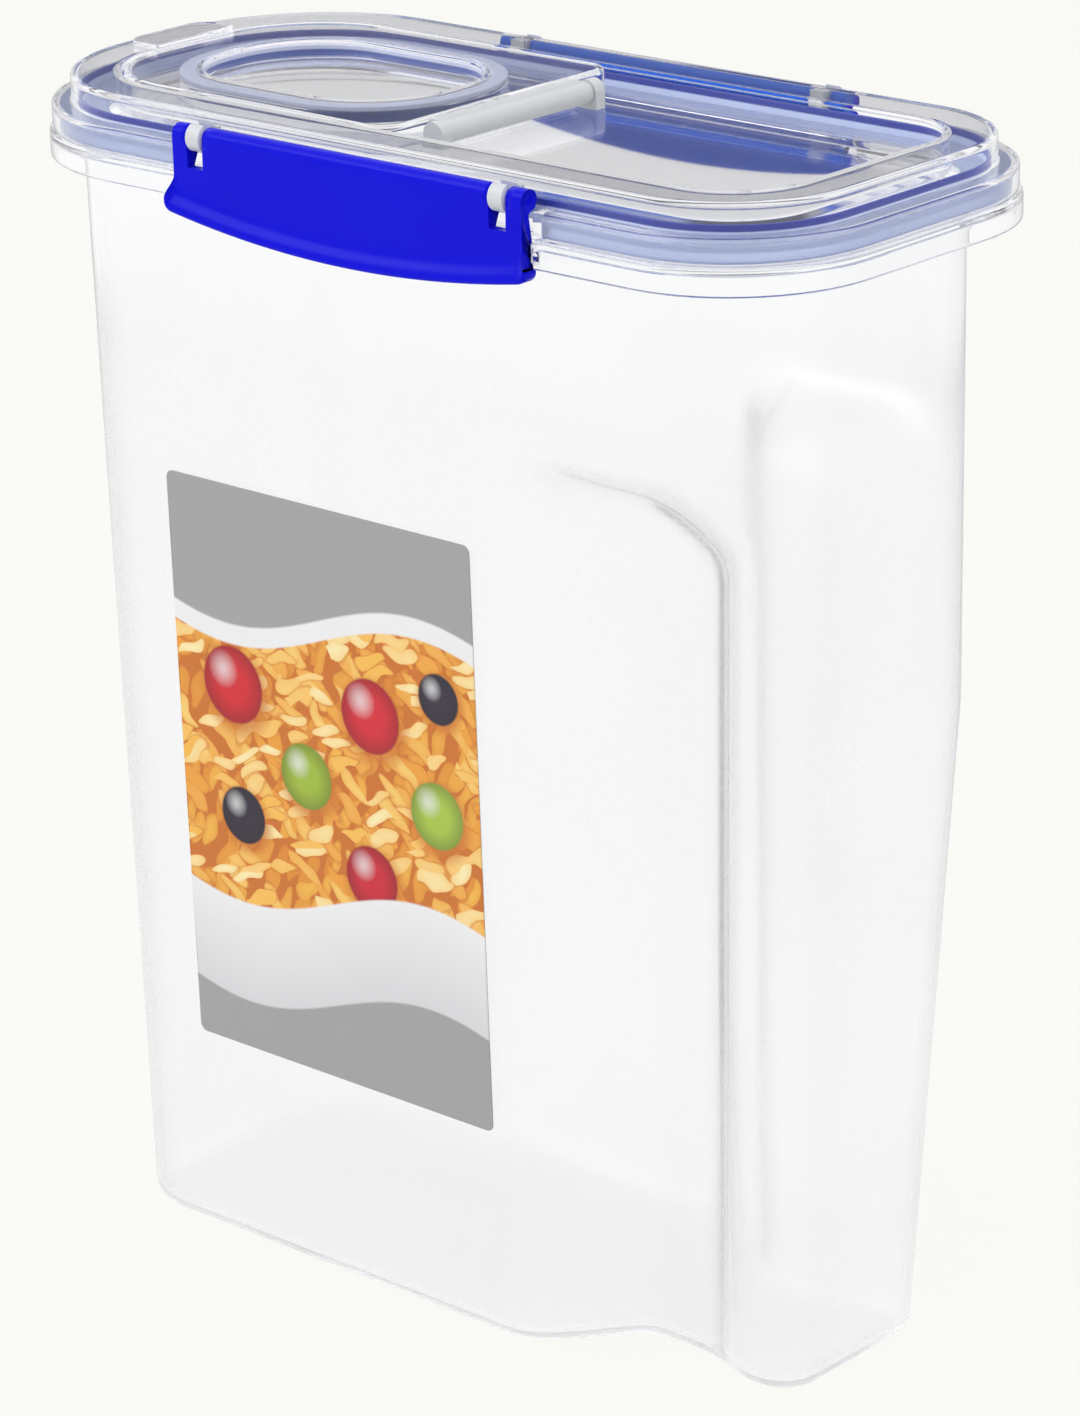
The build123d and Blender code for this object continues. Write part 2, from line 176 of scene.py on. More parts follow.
@dataclass
class Shell:
    """A stack of closed rings that becomes one closed mesh.

    Args:
        rows: Points of shape (rows, columns, 3).
        wrap: True if the last ring joins the first, which makes a torus.
        caps: How the first and last ring are closed where the stack doesn't wrap.
    """

    rows: Array
    wrap: bool = False
    caps: tuple[Cap, Cap] = (Cap.FAN, Cap.FAN)

    def quads(self) -> Array:
        """Quads between neighbouring rings, joined round each ring.

        Returns:
            Corner indices of shape (faces, 4).
        """
        count, columns = self.rows.shape[:2]
        last = count if self.wrap else count - 1
        row = np.arange(last)[:, None]
        column = np.arange(columns)[None, :]
        after, beside = (row + 1) % count, (column + 1) % columns
        parts = (
            row * columns + column,
            row * columns + beside,
            after * columns + beside,
            after * columns + column,
        )
        return np.stack(np.broadcast_arrays(*parts), axis=-1).reshape(-1, 4)

    def ladder(self, ring: int) -> list[tuple[int, ...]]:
        """Faces across a ring from each column to its mirror image, for a flat end of any outline."""
        columns = self.rows.shape[1]
        base = ring * columns
        faces: list[tuple[int, ...]] = []
        for low in range(columns // 2):
            high = low + 1
            near = [base + high, base + low]
            far = [base + (columns - low) % columns, base + (columns - high) % columns]
            faces.append(tuple(dict.fromkeys(near + far)))
        return faces

    def mesh(self, name: str) -> bpy.types.Mesh:
        """Writes the shell as a mesh in metres whose faces point outwards.

        Args:
            name: Name of the mesh.

        Returns:
            The new mesh.
        """
        count, columns = self.rows.shape[:2]
        points = self.rows.reshape(-1, 3)
        faces: list[tuple[int, ...]] = [tuple(face) for face in self.quads().tolist()]
        if not self.wrap:
            for ring, cap, turn in ((0, self.caps[0], 1), (count - 1, self.caps[1], -1)):
                if cap is Cap.LADDER:
                    faces += [face[::turn] for face in self.ladder(ring)]
                else:
                    centre = self.rows[ring].mean(axis=0)
                    points = np.vstack([points, centre])
                    hub, base = len(points) - 1, ring * columns
                    pairs = [(base + k, base + (k + 1) % columns) for k in range(columns)]
                    faces += [(hub, b, a)[::turn] for a, b in pairs]
        return write_mesh(name, points, faces)


def volume(points: Array, faces: Sequence[Sequence[int]]) -> float:
    """Signed volume of a closed mesh: the sum over its triangles of a . (b x c) / 6."""
    triangles = np.array([(f[0], f[k], f[k + 1]) for f in faces for k in range(1, len(f) - 1)])
    a, b, c = points[triangles[:, 0]], points[triangles[:, 1]], points[triangles[:, 2]]
    return float(np.einsum("ij,ij->", a, np.cross(b, c)) / 6.0)


def write_mesh(name: str, points: Array, faces: Sequence[Sequence[int]]) -> bpy.types.Mesh:
    """Makes a smooth-shaded mesh in metres and turns it so that its faces point outwards.

    Args:
        name: Name of the mesh.
        points: Points in millimetres, shape (count, 3).
        faces: Corner indices of each face.

    Returns:
        The new mesh.
    """
    if volume(points, faces) < 0.0:
        faces = [tuple(reversed(face)) for face in faces]
    mesh = bpy.data.meshes.new(name)
    mesh.from_pydata((points * MM).tolist(), [], [list(face) for face in faces])
    mesh.polygons.foreach_set("use_smooth", np.ones(len(mesh.polygons), dtype=bool))
    mesh.update()
    return mesh


# Outlines


@dataclass(frozen=True)
class Outline:
    """Rounded rectangle seen from above, symmetric about the X axis, with its own radius at each end.

    Args:
        left: X of the pour end.
        right: X of the handle end.
        half_depth: Half of its depth along Y.
        left_radius: Corner radius at the pour end.
        right_radius: Corner radius at the handle end.
        side_x: X of the columns along the straight side, from right to left.
        arc_steps: Steps in each corner.
        end_steps: Steps along half of each straight end.
        pour_steps: Steps that the corner at the pour end has over the other.
        clear: Distance from either corner within which a column of the straight side is left out.
    """

    left: float
    right: float
    half_depth: float
    left_radius: float
    right_radius: float
    side_x: tuple[float, ...] = ()
    arc_steps: int = 20
    end_steps: int = 7
    pour_steps: int = 0
    clear: float = 0.2

    def half(self) -> tuple[Array, Array]:
        """Points and outward normals from the middle of the handle end round the +Y side to the pour end.

        A corner is its centre plus the radius times (cos a, sin a), and the straights join the corners.

        Returns:
            Points and normals, each of shape (columns, 2).
        """
        r0, r1, b = self.left_radius, self.right_radius, self.half_depth
        ends = np.linspace(0.0, 1.0, self.end_steps, endpoint=False)
        turn = np.linspace(0.0, np.pi / 2, self.arc_steps + 1)
        turn_left = np.linspace(0.0, np.pi / 2, self.arc_steps + self.pour_steps + 1)
        low, high = self.left + r0 + self.clear, self.right - r1 - self.clear
        side = np.array([x for x in self.side_x if low < x < high])
        one = np.ones_like
        first = np.c_[self.right * one(ends), ends * (b - r1)]
        corner_right = np.c_[self.right - r1 + r1 * np.cos(turn), b - r1 + r1 * np.sin(turn)]
        straight = np.c_[side, b * one(side)]
        corner_left = np.c_[self.left + r0 - r0 * np.sin(turn_left), b - r0 + r0 * np.cos(turn_left)]
        last = np.c_[self.left * one(ends), (1 - ends - 1 / self.end_steps) * (b - r0)]
        points = np.concatenate([first, corner_right, straight, corner_left, last])
        normals = np.concatenate(
            [
                np.c_[one(ends), 0 * ends],
                np.c_[np.cos(turn), np.sin(turn)],
                np.c_[0 * side, one(side)],
                np.c_[-np.sin(turn_left), np.cos(turn_left)],
                np.c_[-one(ends), 0 * ends],
            ]
        )
        return points, normals

    def ring(self) -> tuple[Array, Array]:
        """The whole outline: the half and its mirror image in the X axis, without the doubled ends."""
        points, normals = self.half()
        return mirror_ring(points), mirror_ring(normals)


def mirror_ring(half: Array) -> Array:
    """Closes a half outline with its own mirror image in the X axis."""
    back = half[-2:0:-1] * np.array([1.0, -1.0])
    return np.concatenate([half, back])


def at_height(plan: Array, height: Array | float) -> Array:
    """A plan of shape (columns, 2) lifted to a height, or to one height for each column."""
    return np.c_[plan, np.broadcast_to(np.asarray(height, dtype=float), len(plan))]


def ray_to_outline(angle: Array, half_length: float, half_depth: float, radius: float) -> Array:
    """Points where rays from the middle of a rounded rectangle meet it.

    A ray first meets the plain rectangle. Where that point lies in a corner's square, it goes on to the
    corner's circle: with c the circle's centre and d the ray, t = d.c + sqrt((d.c)^2 - c.c + r^2).

    Args:
        angle: Direction of each ray in radians.
        half_length: Half of the length along X.
        half_depth: Half of the depth along Y.
        radius: Corner radius.

    Returns:
        Points of shape (rays, 2).
    """
    ray = np.c_[np.cos(angle), np.sin(angle)]
    size = np.maximum(np.abs(ray), TINY)
    reach = np.minimum(half_length / size[:, 0], half_depth / size[:, 1])
    point = ray * reach[:, None]
    centre = np.array([half_length - radius, half_depth - radius])
    in_corner = (np.abs(point[:, 0]) > centre[0]) & (np.abs(point[:, 1]) > centre[1])
    along = np.abs(ray) @ centre
    far = along + np.sqrt(np.maximum(along**2 - centre @ centre + radius**2, 0.0))
    return np.where(in_corner[:, None], ray * far[:, None], point)


# Finishes


class Nodes:
    """Small helper that adds and joins shader nodes in one material or world.

    Args:
        tree: The node tree to build in.
    """

    def __init__(self, tree: bpy.types.NodeTree) -> None:
        """Keeps the tree and empties it."""
        self.tree = tree
        tree.nodes.clear()

    def add(self, kind: str, **settings: object) -> bpy.types.Node:
        """Adds a node and sets its properties and its unlinked inputs.

        Args:
            kind: The node's bl_idname.
            settings: Properties by name, or inputs by name with blanks as underscores.

        Returns:
            The node.
        """
        node = self.tree.nodes.new(kind)
        for key, value in settings.items():
            if hasattr(node, key):
                setattr(node, key, value)
            else:
                node.inputs[key.replace("_", " ")].default_value = value
        return node

    def join(self, source: Socket, target: Socket) -> None:
        """Links one socket to another."""
        self.tree.links.new(source, target)

    def finish(self, shader: Socket, output: str = "ShaderNodeOutputMaterial") -> None:
        """Links the last shader to the tree's output."""
        self.join(shader, self.add(output).inputs["Surface"])

    def parts(self, where: Socket) -> Sequence[Socket]:
        """The three coordinates of a vector socket."""
        node = self.add("ShaderNodeSeparateXYZ")
        self.join(where, node.inputs[0])
        return node.outputs

    def mix(self, share: Socket, first: Socket, second: Socket) -> Socket:
        """A Mix Shader node: the first shader, with a share of the second."""
        node = self.add("ShaderNodeMixShader")
        for socket, source in zip(node.inputs, (share, first, second)):
            self.join(source, socket)
        return node.outputs[0]

    def give(self, socket: Socket, value: object) -> None:
        """Links an input to a socket, or sets it to a number or a colour."""
        if isinstance(value, Socket):
            self.join(value, socket)
        else:
            socket.default_value = (*value, 1.0)[:4] if isinstance(value, tuple) else value

    def maths(self, operation: str, first: object, second: object = 0.0, third: object = 0.0) -> Socket:
        """A Math node on sockets or numbers.

        Args:
            operation: The node's operation.
            first: First value or socket.
            second: Second value or socket.
            third: Third value or socket.

        Returns:
            The output socket.
        """
        node = self.add("ShaderNodeMath", operation=operation)
        for socket, value in zip(node.inputs, (first, second, third)):
            self.give(socket, value)
        return node.outputs[0]

    def blend(self, share: object, first: object, second: object) -> Socket:
        """A colour Mix node on sockets or colours.

        Args:
            share: Share of the second colour.
            first: First colour or socket.
            second: Second colour or socket.

        Returns:
            The colour socket.
        """
        node = self.add("ShaderNodeMix", data_type="RGBA")
        for socket, value in ((node.inputs[0], share), (node.inputs[6], first), (node.inputs[7], second)):
            self.give(socket, value)
        return node.outputs[2]

    def ramp(self, value: Socket, low: float, high: float, to_low: float, to_high: float) -> Socket:
        """A Map Range node.

        Args:
            value: The socket to map.
            low: Start of the source range.
            high: End of the source range.
            to_low: Start of the result.
            to_high: End of the result.

        Returns:
            The mapped socket.
        """
        node = self.add("ShaderNodeMapRange", clamp=True)
        self.join(value, node.inputs["Value"])
        for name, number in (("From Min", low), ("From Max", high), ("To Min", to_low), ("To Max", to_high)):
            node.inputs[name].default_value = number
        return node.outputs["Result"]

    def spread(self, noise: Socket, low: float, high: float) -> Socket:
        """A noise value spread over a range, as nearly all of its values lie in NOISE_RANGE."""
        return self.ramp(noise, *NOISE_RANGE, low, high)

    def noise(self, where: Socket, scale: float, detail: float = 2.0) -> Socket:
        """A noise value on given coordinates."""
        node = self.add("ShaderNodeTexNoise", Scale=scale, Detail=detail)
        self.join(where, node.inputs["Vector"])
        return node.outputs["Fac"]

    def bump(self, height: Socket, distance: float, strength: float) -> Socket:
        """A Bump normal from a height socket."""
        node = self.add("ShaderNodeBump", Distance=distance, Strength=strength)
        self.join(height, node.inputs["Height"])
        return node.outputs["Normal"]


def new_material(name: str) -> tuple[bpy.types.Material, Nodes]:
    """A new material and the helper for its empty node tree."""
    material = bpy.data.materials.new(name)
    material.use_nodes = True
    return material, Nodes(material.node_tree)


@dataclass(frozen=True)
class ClearPlastic:
    """Clear moulded polypropylene, with the faint cloud of a mould and a way through it for lamp light.

    Args:
        name: Name of the material.
        low_tint: Colour where the cloud is thin.
        high_tint: Colour where the cloud is dense.
        roughness: Least and most roughness that the cloud gives under the polished part.
        polish: Roughness of the polished part, which the rest has on top of its own.
        polished_from: Height in metres from which the face is polished.
        polish_ease: Height in metres over which the polish sets in.
        ior: Index of refraction.
        lamp_tint: Colour of lamp light that has passed through.
        deepest: Number of bounces after which light leaves the thin walls straight.
        cloud_scale: Scale of the cloud.
        ripple_scale: Scale of the face's faint ripple.
        ripple_height: Height of the ripple in metres.
        ripple_strength: Strength of the ripple.
    """

    name: str
    low_tint: Colour = (1.0, 1.0, 1.0)
    high_tint: Colour = (0.985, 0.988, 0.995)
    roughness: tuple[float, float] = (0.17, 0.21)
    polish: float = 0.03
    polished_from: float = 0.25
    polish_ease: float = 0.02
    ior: float = 1.3
    lamp_tint: Colour = (0.97, 0.97, 0.975)
    deepest: float = 13.0
    cloud_scale: float = 22.0
    ripple_scale: float = 14.0
    ripple_height: float = 0.0004
    ripple_strength: float = 0.03

    def make(self) -> bpy.types.Material:
        """Builds the material's nodes.

        Returns:
            The material.
        """
        material, nodes = new_material(self.name)
        where = nodes.add("ShaderNodeTexCoord").outputs["Object"]
        cloud = nodes.noise(where, self.cloud_scale, 3.0)
        face = nodes.add("ShaderNodeBsdfPrincipled", IOR=self.ior, Transmission_Weight=1.0)
        nodes.join(nodes.blend(cloud, self.low_tint, self.high_tint), face.inputs["Base Color"])
        height = nodes.parts(where)[2]
        frosted = nodes.ramp(height, self.polished_from - self.polish_ease, self.polished_from, 1.0, 0.0)
        rough = nodes.maths("MULTIPLY", nodes.spread(cloud, *self.roughness), frosted)
        nodes.join(nodes.maths("ADD", rough, self.polish), face.inputs["Roughness"])
        ripple = nodes.noise(where, self.ripple_scale, 1.0)
        nodes.join(nodes.bump(ripple, self.ripple_height, self.ripple_strength), face.inputs["Normal"])
        through = nodes.add("ShaderNodeBsdfTransparent", Color=(*self.lamp_tint, 1.0))
        path = nodes.add("ShaderNodeLightPath")
        lost = nodes.maths("GREATER_THAN", path.outputs["Ray Depth"], self.deepest)
        straight = nodes.maths("MAXIMUM", path.outputs["Is Shadow Ray"], lost)
        nodes.finish(nodes.mix(straight, face.outputs[0], through.outputs[0]))
        return material


@dataclass(frozen=True)
class MouldedColour:
    """Opaque or soft coloured plastic with a fine moulded grain.

    Args:
        name: Name of the material.
        low: Colour in the cloud's low places.
        high: Colour in the cloud's high places.
        roughness: Least and most roughness.
        specular: Specular level.
        transmission: Share of light that passes.
        inner: Second colour, shown where a coordinate is under its limit, or None.
        inner_axis: Index of the coordinate that the second colour goes by.
        inner_limit: Size of the coordinate, in metres, under which the second colour shows.
        inner_ease: Half of the width, in metres, over which the second colour sets in.
        cloud_scale: Scale of the cloud in the colour.
        grain_scale: Scale of the grain.
        grain: Height of the grain in metres.
        grain_strength: Strength of the grain.
    """

    name: str
    low: Colour
    high: Colour
    roughness: tuple[float, float]
    specular: float = 0.5
    transmission: float = 0.0
    inner: Colour | None = None
    inner_axis: int = 2
    inner_limit: float = 0.0
    inner_ease: float = 0.0002
    cloud_scale: float = 35.0
    grain_scale: float = 900.0
    grain: float = 0.0002
    grain_strength: float = 0.15

    def make(self) -> bpy.types.Material:
        """Builds the material's nodes.

        Returns:
            The material.
        """
        material, nodes = new_material(self.name)
        where = nodes.add("ShaderNodeTexCoord").outputs["Object"]
        cloud = nodes.noise(where, self.cloud_scale, 3.0)
        fine = nodes.noise(where, self.grain_scale, 2.0)
        colour = nodes.blend(cloud, self.low, self.high)
        if self.inner is not None:
            reach = nodes.maths("ABSOLUTE", nodes.parts(where)[self.inner_axis])
            low, high = self.inner_limit - self.inner_ease, self.inner_limit + self.inner_ease
            colour = nodes.blend(nodes.ramp(reach, low, high, 1.0, 0.0), colour, self.inner)
        face = nodes.add("ShaderNodeBsdfPrincipled", Transmission_Weight=self.transmission)
        face.inputs["Specular IOR Level"].default_value = self.specular
        nodes.join(colour, face.inputs["Base Color"])
        nodes.join(nodes.spread(fine, *self.roughness), face.inputs["Roughness"])
        nodes.join(nodes.bump(fine, self.grain, self.grain_strength), face.inputs["Normal"])
        nodes.finish(face.outputs[0])
        return material


@dataclass(frozen=True)
class Disc:
    """A round dot of the print, with its middle from the card's and its radius in millimetres."""

    x: float
    y: float
    radius: float
    colour: Colour


@dataclass(frozen=True)
class DotShading:
    """How every dot of the print is shaded, with all lengths as shares of the dot's radius.

    Args:
        shadow_place: Place of the shadow's middle from the dot's own.
        shadow_reach: Where the shadow starts to fade and where it ends.
        shadow_depth: Share of the shadow's colour in its middle.
        rim_from: Distance from the middle at which the dot starts to darken.
        rim_tone: Brightness of the rim's colour over the dot's own.
        rim_depth: Share of the rim's colour at the rim.
        spot_place: Place of the light spot's middle from the dot's own.
        spot_reach: Where the light spot starts to fade and where it ends.
        spot_depth: Share of white in the middle of the light spot.
    """

    shadow_place: tuple[float, float] = (0.1, -0.15)
    shadow_reach: tuple[float, float] = (0.9, 1.3)
    shadow_depth: float = 0.75
    rim_from: float = 0.45
    rim_tone: float = 0.45
    rim_depth: float = 0.85
    spot_place: tuple[float, float] = (-0.3, 0.35)
    spot_reach: tuple[float, float] = (0.08, 0.5)
    spot_depth: float = 0.6


@dataclass(frozen=True)
class Flakes:
    """A layer of long flakes, all lying much the same way.

    The turn is in degrees and the length and width of a flake in millimetres. `kept` is the share of the
    layer's cells that hold a flake.
    """

    turn: float
    length: float
    width: float
    kept: float
    dull: Colour
    bright: Colour


@dataclass(frozen=True)
class PrintedCard:
    """Satin card with a generic print: a grey ground, a wavy field of golden flakes with dots, a white wave.

    The print reads the piece's own UV map in millimetres, with its zero in the middle of the card. The waves
    are sines across the card: each edge is at its own level plus swell times the sine of across times pace.

    Args:
        name: Name of the material.
        ground: Grey of the card.
        white: White of the wave.
        shade: Grey that the white wave fades to at its lower edge.
        soil: Colour under the flakes.
        swell: Half height of the waves in millimetres.
        pace: Radians of the wave for each millimetre across.
        edges: Levels of the lower edge of the white, the lower edge of the flakes, the upper edge of the
            flakes and the upper edge of the thin white line, in millimetres.
        crisp: Width of the step at each edge in millimetres.
        wave_depth: Share of the shade at the lower edge of the white.
        roughness: Least and most roughness of the film.
        flake_layers: The layers of flakes, from the lowest to the uppermost.
        bend_scale: Scale of the noise that bends the flakes.
        bend: How far the flakes are bent, in millimetres.
        flake_edge: Distances within a cell between which a flake ends.
        flake_shadow: Distances within a cell between which the shadow beside a flake fades.
        flake_shadow_depth: Share of the colour under the flakes in that shadow.
        dulling: Distances within a cell between which a flake turns duller.
        dull_depth: Share of the dull colour at a flake's edge.
        shading: How the dots are shaded.
        discs: The dots.
    """

    name: str = "printed_card"
    ground: Colour = (0.37, 0.37, 0.37)
    white: Colour = (0.88, 0.88, 0.88)
    shade: Colour = (0.62, 0.63, 0.65)
    soil: Colour = (0.62, 0.17, 0.015)
    swell: float = 7.0
    pace: float = 0.052
    edges: tuple[float, float, float, float] = (-53.0, -27.0, 39.0, 44.0)
    crisp: float = 0.6
    wave_depth: float = 0.7
    roughness: tuple[float, float] = (0.42, 0.55)
    flake_layers: tuple[Flakes, ...] = (
        Flakes(64.0, 11.0, 4.0, 0.9, (0.75, 0.25, 0.02), (0.93, 0.50, 0.07)),
        Flakes(-38.0, 12.0, 4.2, 0.62, (0.86, 0.34, 0.03), (0.98, 0.66, 0.18)),
        Flakes(18.0, 10.0, 3.4, 0.45, (0.95, 0.50, 0.07), (1.0, 0.86, 0.46)),
    )
    bend_scale: float = 0.09
    bend: float = 9.0
    flake_edge: tuple[float, float] = (0.44, 0.5)
    flake_shadow: tuple[float, float] = (0.48, 0.64)
    flake_shadow_depth: float = 0.6
    dulling: tuple[float, float] = (0.15, 0.5)
    dull_depth: float = 0.45
    shading: DotShading = DotShading()
    discs: tuple[Disc, ...] = (
        Disc(-30.0, 22.0, 10.0, (0.66, 0.012, 0.02)),
        Disc(-7.0, 4.0, 8.5, (0.36, 0.50, 0.04)),
        Disc(15.0, 24.0, 9.5, (0.68, 0.015, 0.03)),
        Disc(35.0, 4.0, 8.5, (0.40, 0.56, 0.06)),
        Disc(-29.0, -11.0, 7.5, (0.02, 0.012, 0.03)),
        Disc(13.0, -17.0, 8.5, (0.62, 0.012, 0.03)),
        Disc(37.0, 33.0, 6.5, (0.025, 0.015, 0.035)),
    )

    def flakes(self, nodes: Nodes, uv: Socket, layer: Flakes, below: Socket | Colour) -> Socket:
        """Lays one layer of flakes over what is below: cells of a stretched Voronoi, each with its own tone.

        Args:
            nodes: Node helper of the material.
            uv: The card's coordinates.
            layer: The layer.
            below: Colour under the layer.

        Returns:
            The colour with the layer on it.
        """
        bend = nodes.add("ShaderNodeTexNoise", Scale=self.bend_scale, Detail=1.0)
        nodes.join(uv, bend.inputs["Vector"])
        bent = nodes.add("ShaderNodeVectorMath", operation="MULTIPLY_ADD")
        bent.inputs[1].default_value = (self.bend, self.bend, 0.0)
        nodes.join(bend.outputs["Color"], bent.inputs[0])
        nodes.join(uv, bent.inputs[2])
        turned = nodes.add("ShaderNodeMapping", vector_type="TEXTURE")
        turned.inputs["Rotation"].default_value = (0.0, 0.0, float(np.radians(layer.turn)))
        turned.inputs["Scale"].default_value = (layer.length, layer.width, 1.0)
        nodes.join(bent.outputs[0], turned.inputs["Vector"])
        cells = nodes.add("ShaderNodeTexVoronoi", feature="F1", voronoi_dimensions="2D")
        cells.inputs["Scale"].default_value = 1.0
        cells.inputs["Randomness"].default_value = 0.9
        nodes.join(turned.outputs[0], cells.inputs["Vector"])
        tone = nodes.add("ShaderNodeSeparateColor")
        nodes.join(cells.outputs["Color"], tone.inputs[0])
        kept = nodes.maths("LESS_THAN", tone.outputs[0], layer.kept)
        away = cells.outputs["Distance"]
        shadow = nodes.ramp(away, *self.flake_shadow, self.flake_shadow_depth, 0.0)
        shadow = nodes.maths("MULTIPLY", kept, shadow)
        dark = nodes.blend(shadow, below, self.soil)
        own = nodes.blend(tone.outputs[1], layer.dull, layer.bright)
        own = nodes.blend(nodes.ramp(away, *self.dulling, 0.0, self.dull_depth), own, layer.dull)
        flake = nodes.maths("MULTIPLY", kept, nodes.ramp(away, *self.flake_edge, 1.0, 0.0))
        return nodes.blend(flake, dark, own)

    def dot(self, nodes: Nodes, across: Socket, up: Socket, disc: Disc, below: Socket) -> Socket:
        """Lays one dot with a soft shadow, a darker edge and a light spot over what is below it.

        Args:
            nodes: Node helper of the material.
            across: Coordinate across the card.
            up: Coordinate up the card.
            disc: The dot.
            below: Colour under the dot.

        Returns:
            The colour with the dot on it.
        """
        size, look = disc.radius, self.shading

        def away(place: tuple[float, float]) -> Socket:
            """Distance from a place given as shares of the radius from the dot's middle."""
            return self.reach(nodes, across, up, disc.x + place[0] * size, disc.y + place[1] * size)

        def fade(distance: Socket, low: float, high: float, to_low: float, to_high: float) -> Socket:
            """A ramp between two distances given as shares of the radius."""
            return nodes.ramp(distance, low * size, high * size, to_low, to_high)

        shadow = fade(away(look.shadow_place), *look.shadow_reach, look.shadow_depth, 0.0)
        below = nodes.blend(shadow, below, self.soil)
        middle = away((0.0, 0.0))
        deep = tuple(look.rim_tone * part for part in disc.colour)
        own = nodes.blend(fade(middle, look.rim_from, 1.0, 0.0, look.rim_depth), disc.colour, deep)
        spot = fade(away(look.spot_place), *look.spot_reach, look.spot_depth, 0.0)
        own = nodes.blend(spot, own, self.white)
        return nodes.blend(nodes.ramp(middle, size - self.crisp, size, 1.0, 0.0), below, own)

    @staticmethod
    def reach(nodes: Nodes, across: Socket, up: Socket, x: float, y: float) -> Socket:
        """Distance from a point of the card: the root of the sum of the two squares.

        Args:
            nodes: Node helper of the material.
            across: Coordinate across the card.
            up: Coordinate up the card.
            x: The point's place across the card.
            y: The point's place up the card.

        Returns:
            The distance as a socket, in millimetres.
        """
        first = nodes.maths("POWER", nodes.maths("ABSOLUTE", nodes.maths("SUBTRACT", across, x)), 2.0)
        second = nodes.maths("POWER", nodes.maths("ABSOLUTE", nodes.maths("SUBTRACT", up, y)), 2.0)
        return nodes.maths("SQRT", nodes.maths("ADD", first, second))

    def make(self) -> bpy.types.Material:
        """Builds the material's nodes.

        Returns:
            The material.
        """
        material, nodes = new_material(self.name)
        uv = nodes.add("ShaderNodeUVMap", uv_map="card").outputs["UV"]
        across, up, _ = nodes.parts(uv)
        field: Socket | Colour = self.soil
        for layer in self.flake_layers:
            field = self.flakes(nodes, uv, layer, field)
        for disc in self.discs:
            field = self.dot(nodes, across, up, disc, field)
        wave = nodes.maths("SINE", nodes.maths("MULTIPLY", across, self.pace))
        level = nodes.maths("SUBTRACT", up, nodes.maths("MULTIPLY", wave, self.swell))
        foot, low, high, head = self.edges
        shaded = nodes.blend(nodes.ramp(level, foot, low, self.wave_depth, 0.0), self.white, self.shade)
        picture: Socket | Colour = self.ground
        for edge, upper in ((foot, shaded), (low, field), (high, self.white), (head, self.ground)):
            picture = nodes.blend(nodes.ramp(level, edge, edge + self.crisp, 0.0, 1.0), picture, upper)
        face = nodes.add("ShaderNodeBsdfPrincipled")
        nodes.join(picture, face.inputs["Base Color"])
        fine = nodes.noise(uv, 1.6, 2.0)
        nodes.join(nodes.spread(fine, *self.roughness), face.inputs["Roughness"])
        nodes.join(nodes.bump(fine, 0.0001, 0.1), face.inputs["Normal"])
        nodes.finish(face.outputs[0])
        return material


# Pieces


@dataclass(frozen=True)
class Sizes:
    """Sizes that more than one sub-assembly shares, and how its rings are divided.

    The sizes are the CAD's, with heights over the underside. `column_step` and `column_end` set the plain
    columns along a side, and a plain one within `pair_clear` of a close one is left out. `notch_columns` are
    the places of the close pairs past a notch's end, and `side_band` is how near a column has to lie to the
    side to be in a notch.
    """

    rim_half_length: float = 121.0
    rim_half_depth: float = 56.5
    rim_pour_radius: float = 47.0
    rim_handle_radius: float = 36.0
    rim_top: float = 274.5
    wall_half_depth: float = 46.0
    wall_lean: float = 3.0
    lip_top: float = 277.1
    band_bottom: float = 274.8
    band_top: float = 281.0
    lid_top: float = 287.5
    lid_wall: float = 1.4
    land_underside: float = 286.1
    panel_top: float = 280.5
    panel_underside: float = 279.0
    step_inset: float = 5.5
    recess_inset: float = 17.5
    clip_x: float = 3.0
    notch_half: float = 54.5
    lug_half_spacing: float = 46.0
    bar_y: float = 55.0
    bar_z: float = 283.0
    mouth_x: float = -52.0
    mouth_half_length: float = 39.0
    mouth_half_depth: float = 28.0
    mouth_radius: float = 26.0
    mouth_collar: float = 1.6
    mouth_collar_top: float = 284.3
    hinge_x: float = 2.2
    hinge_z: float = 284.3
    column_step: float = 3.0
    column_end: float = 120.0
    notch_columns: tuple[float, float, float] = (0.0, 1.4, 1.7)
    pair_half: float = 0.08
    pair_clear: float = 0.4
    side_band: float = 1.0

    def side_columns(self) -> tuple[float, ...]:
        """X of the columns along a side, with close pairs at the ends of the clips' notch.

        Returns:
            The columns from the handle end to the pour end.
        """
        plain = np.arange(-self.column_end, self.column_end, self.column_step)
        past = [end * (self.notch_half + beyond) for end in (-1, 1) for beyond in self.notch_columns]
        edges = [self.clip_x + reach for reach in past]
        near = np.array([edge + beside for edge in edges for beside in (-self.pair_half, self.pair_half)])
        kept = plain[np.min(np.abs(plain[:, None] - near[None, :]), axis=1) > self.pair_clear]
        return tuple(np.sort(np.concatenate([kept, near]))[::-1].tolist())

    def rim(self, side_x: tuple[float, ...] | None = None, **steps: int) -> Outline:
        """The rim's outline.

        Args:
            side_x: Columns along the straight side, or None for those of side_columns.
            steps: Steps of the corners and ends, named as Outline names them.

        Returns:
            The outline.
        """
        return Outline(
            -self.rim_half_length,
            self.rim_half_length,
            self.rim_half_depth,
            self.rim_pour_radius,
            self.rim_handle_radius,
            self.side_columns() if side_x is None else side_x,
            **steps,
        )

    def in_notch(self, plan: Array, margin: float) -> Array:
        """True for the columns of a ring that lie in a clip's notch, grown by a margin at each end."""
        beside = np.abs(plan[:, 1]) > self.rim_half_depth - self.side_band
        return beside & (np.abs(plan[:, 0] - self.clip_x) < self.notch_half + margin)


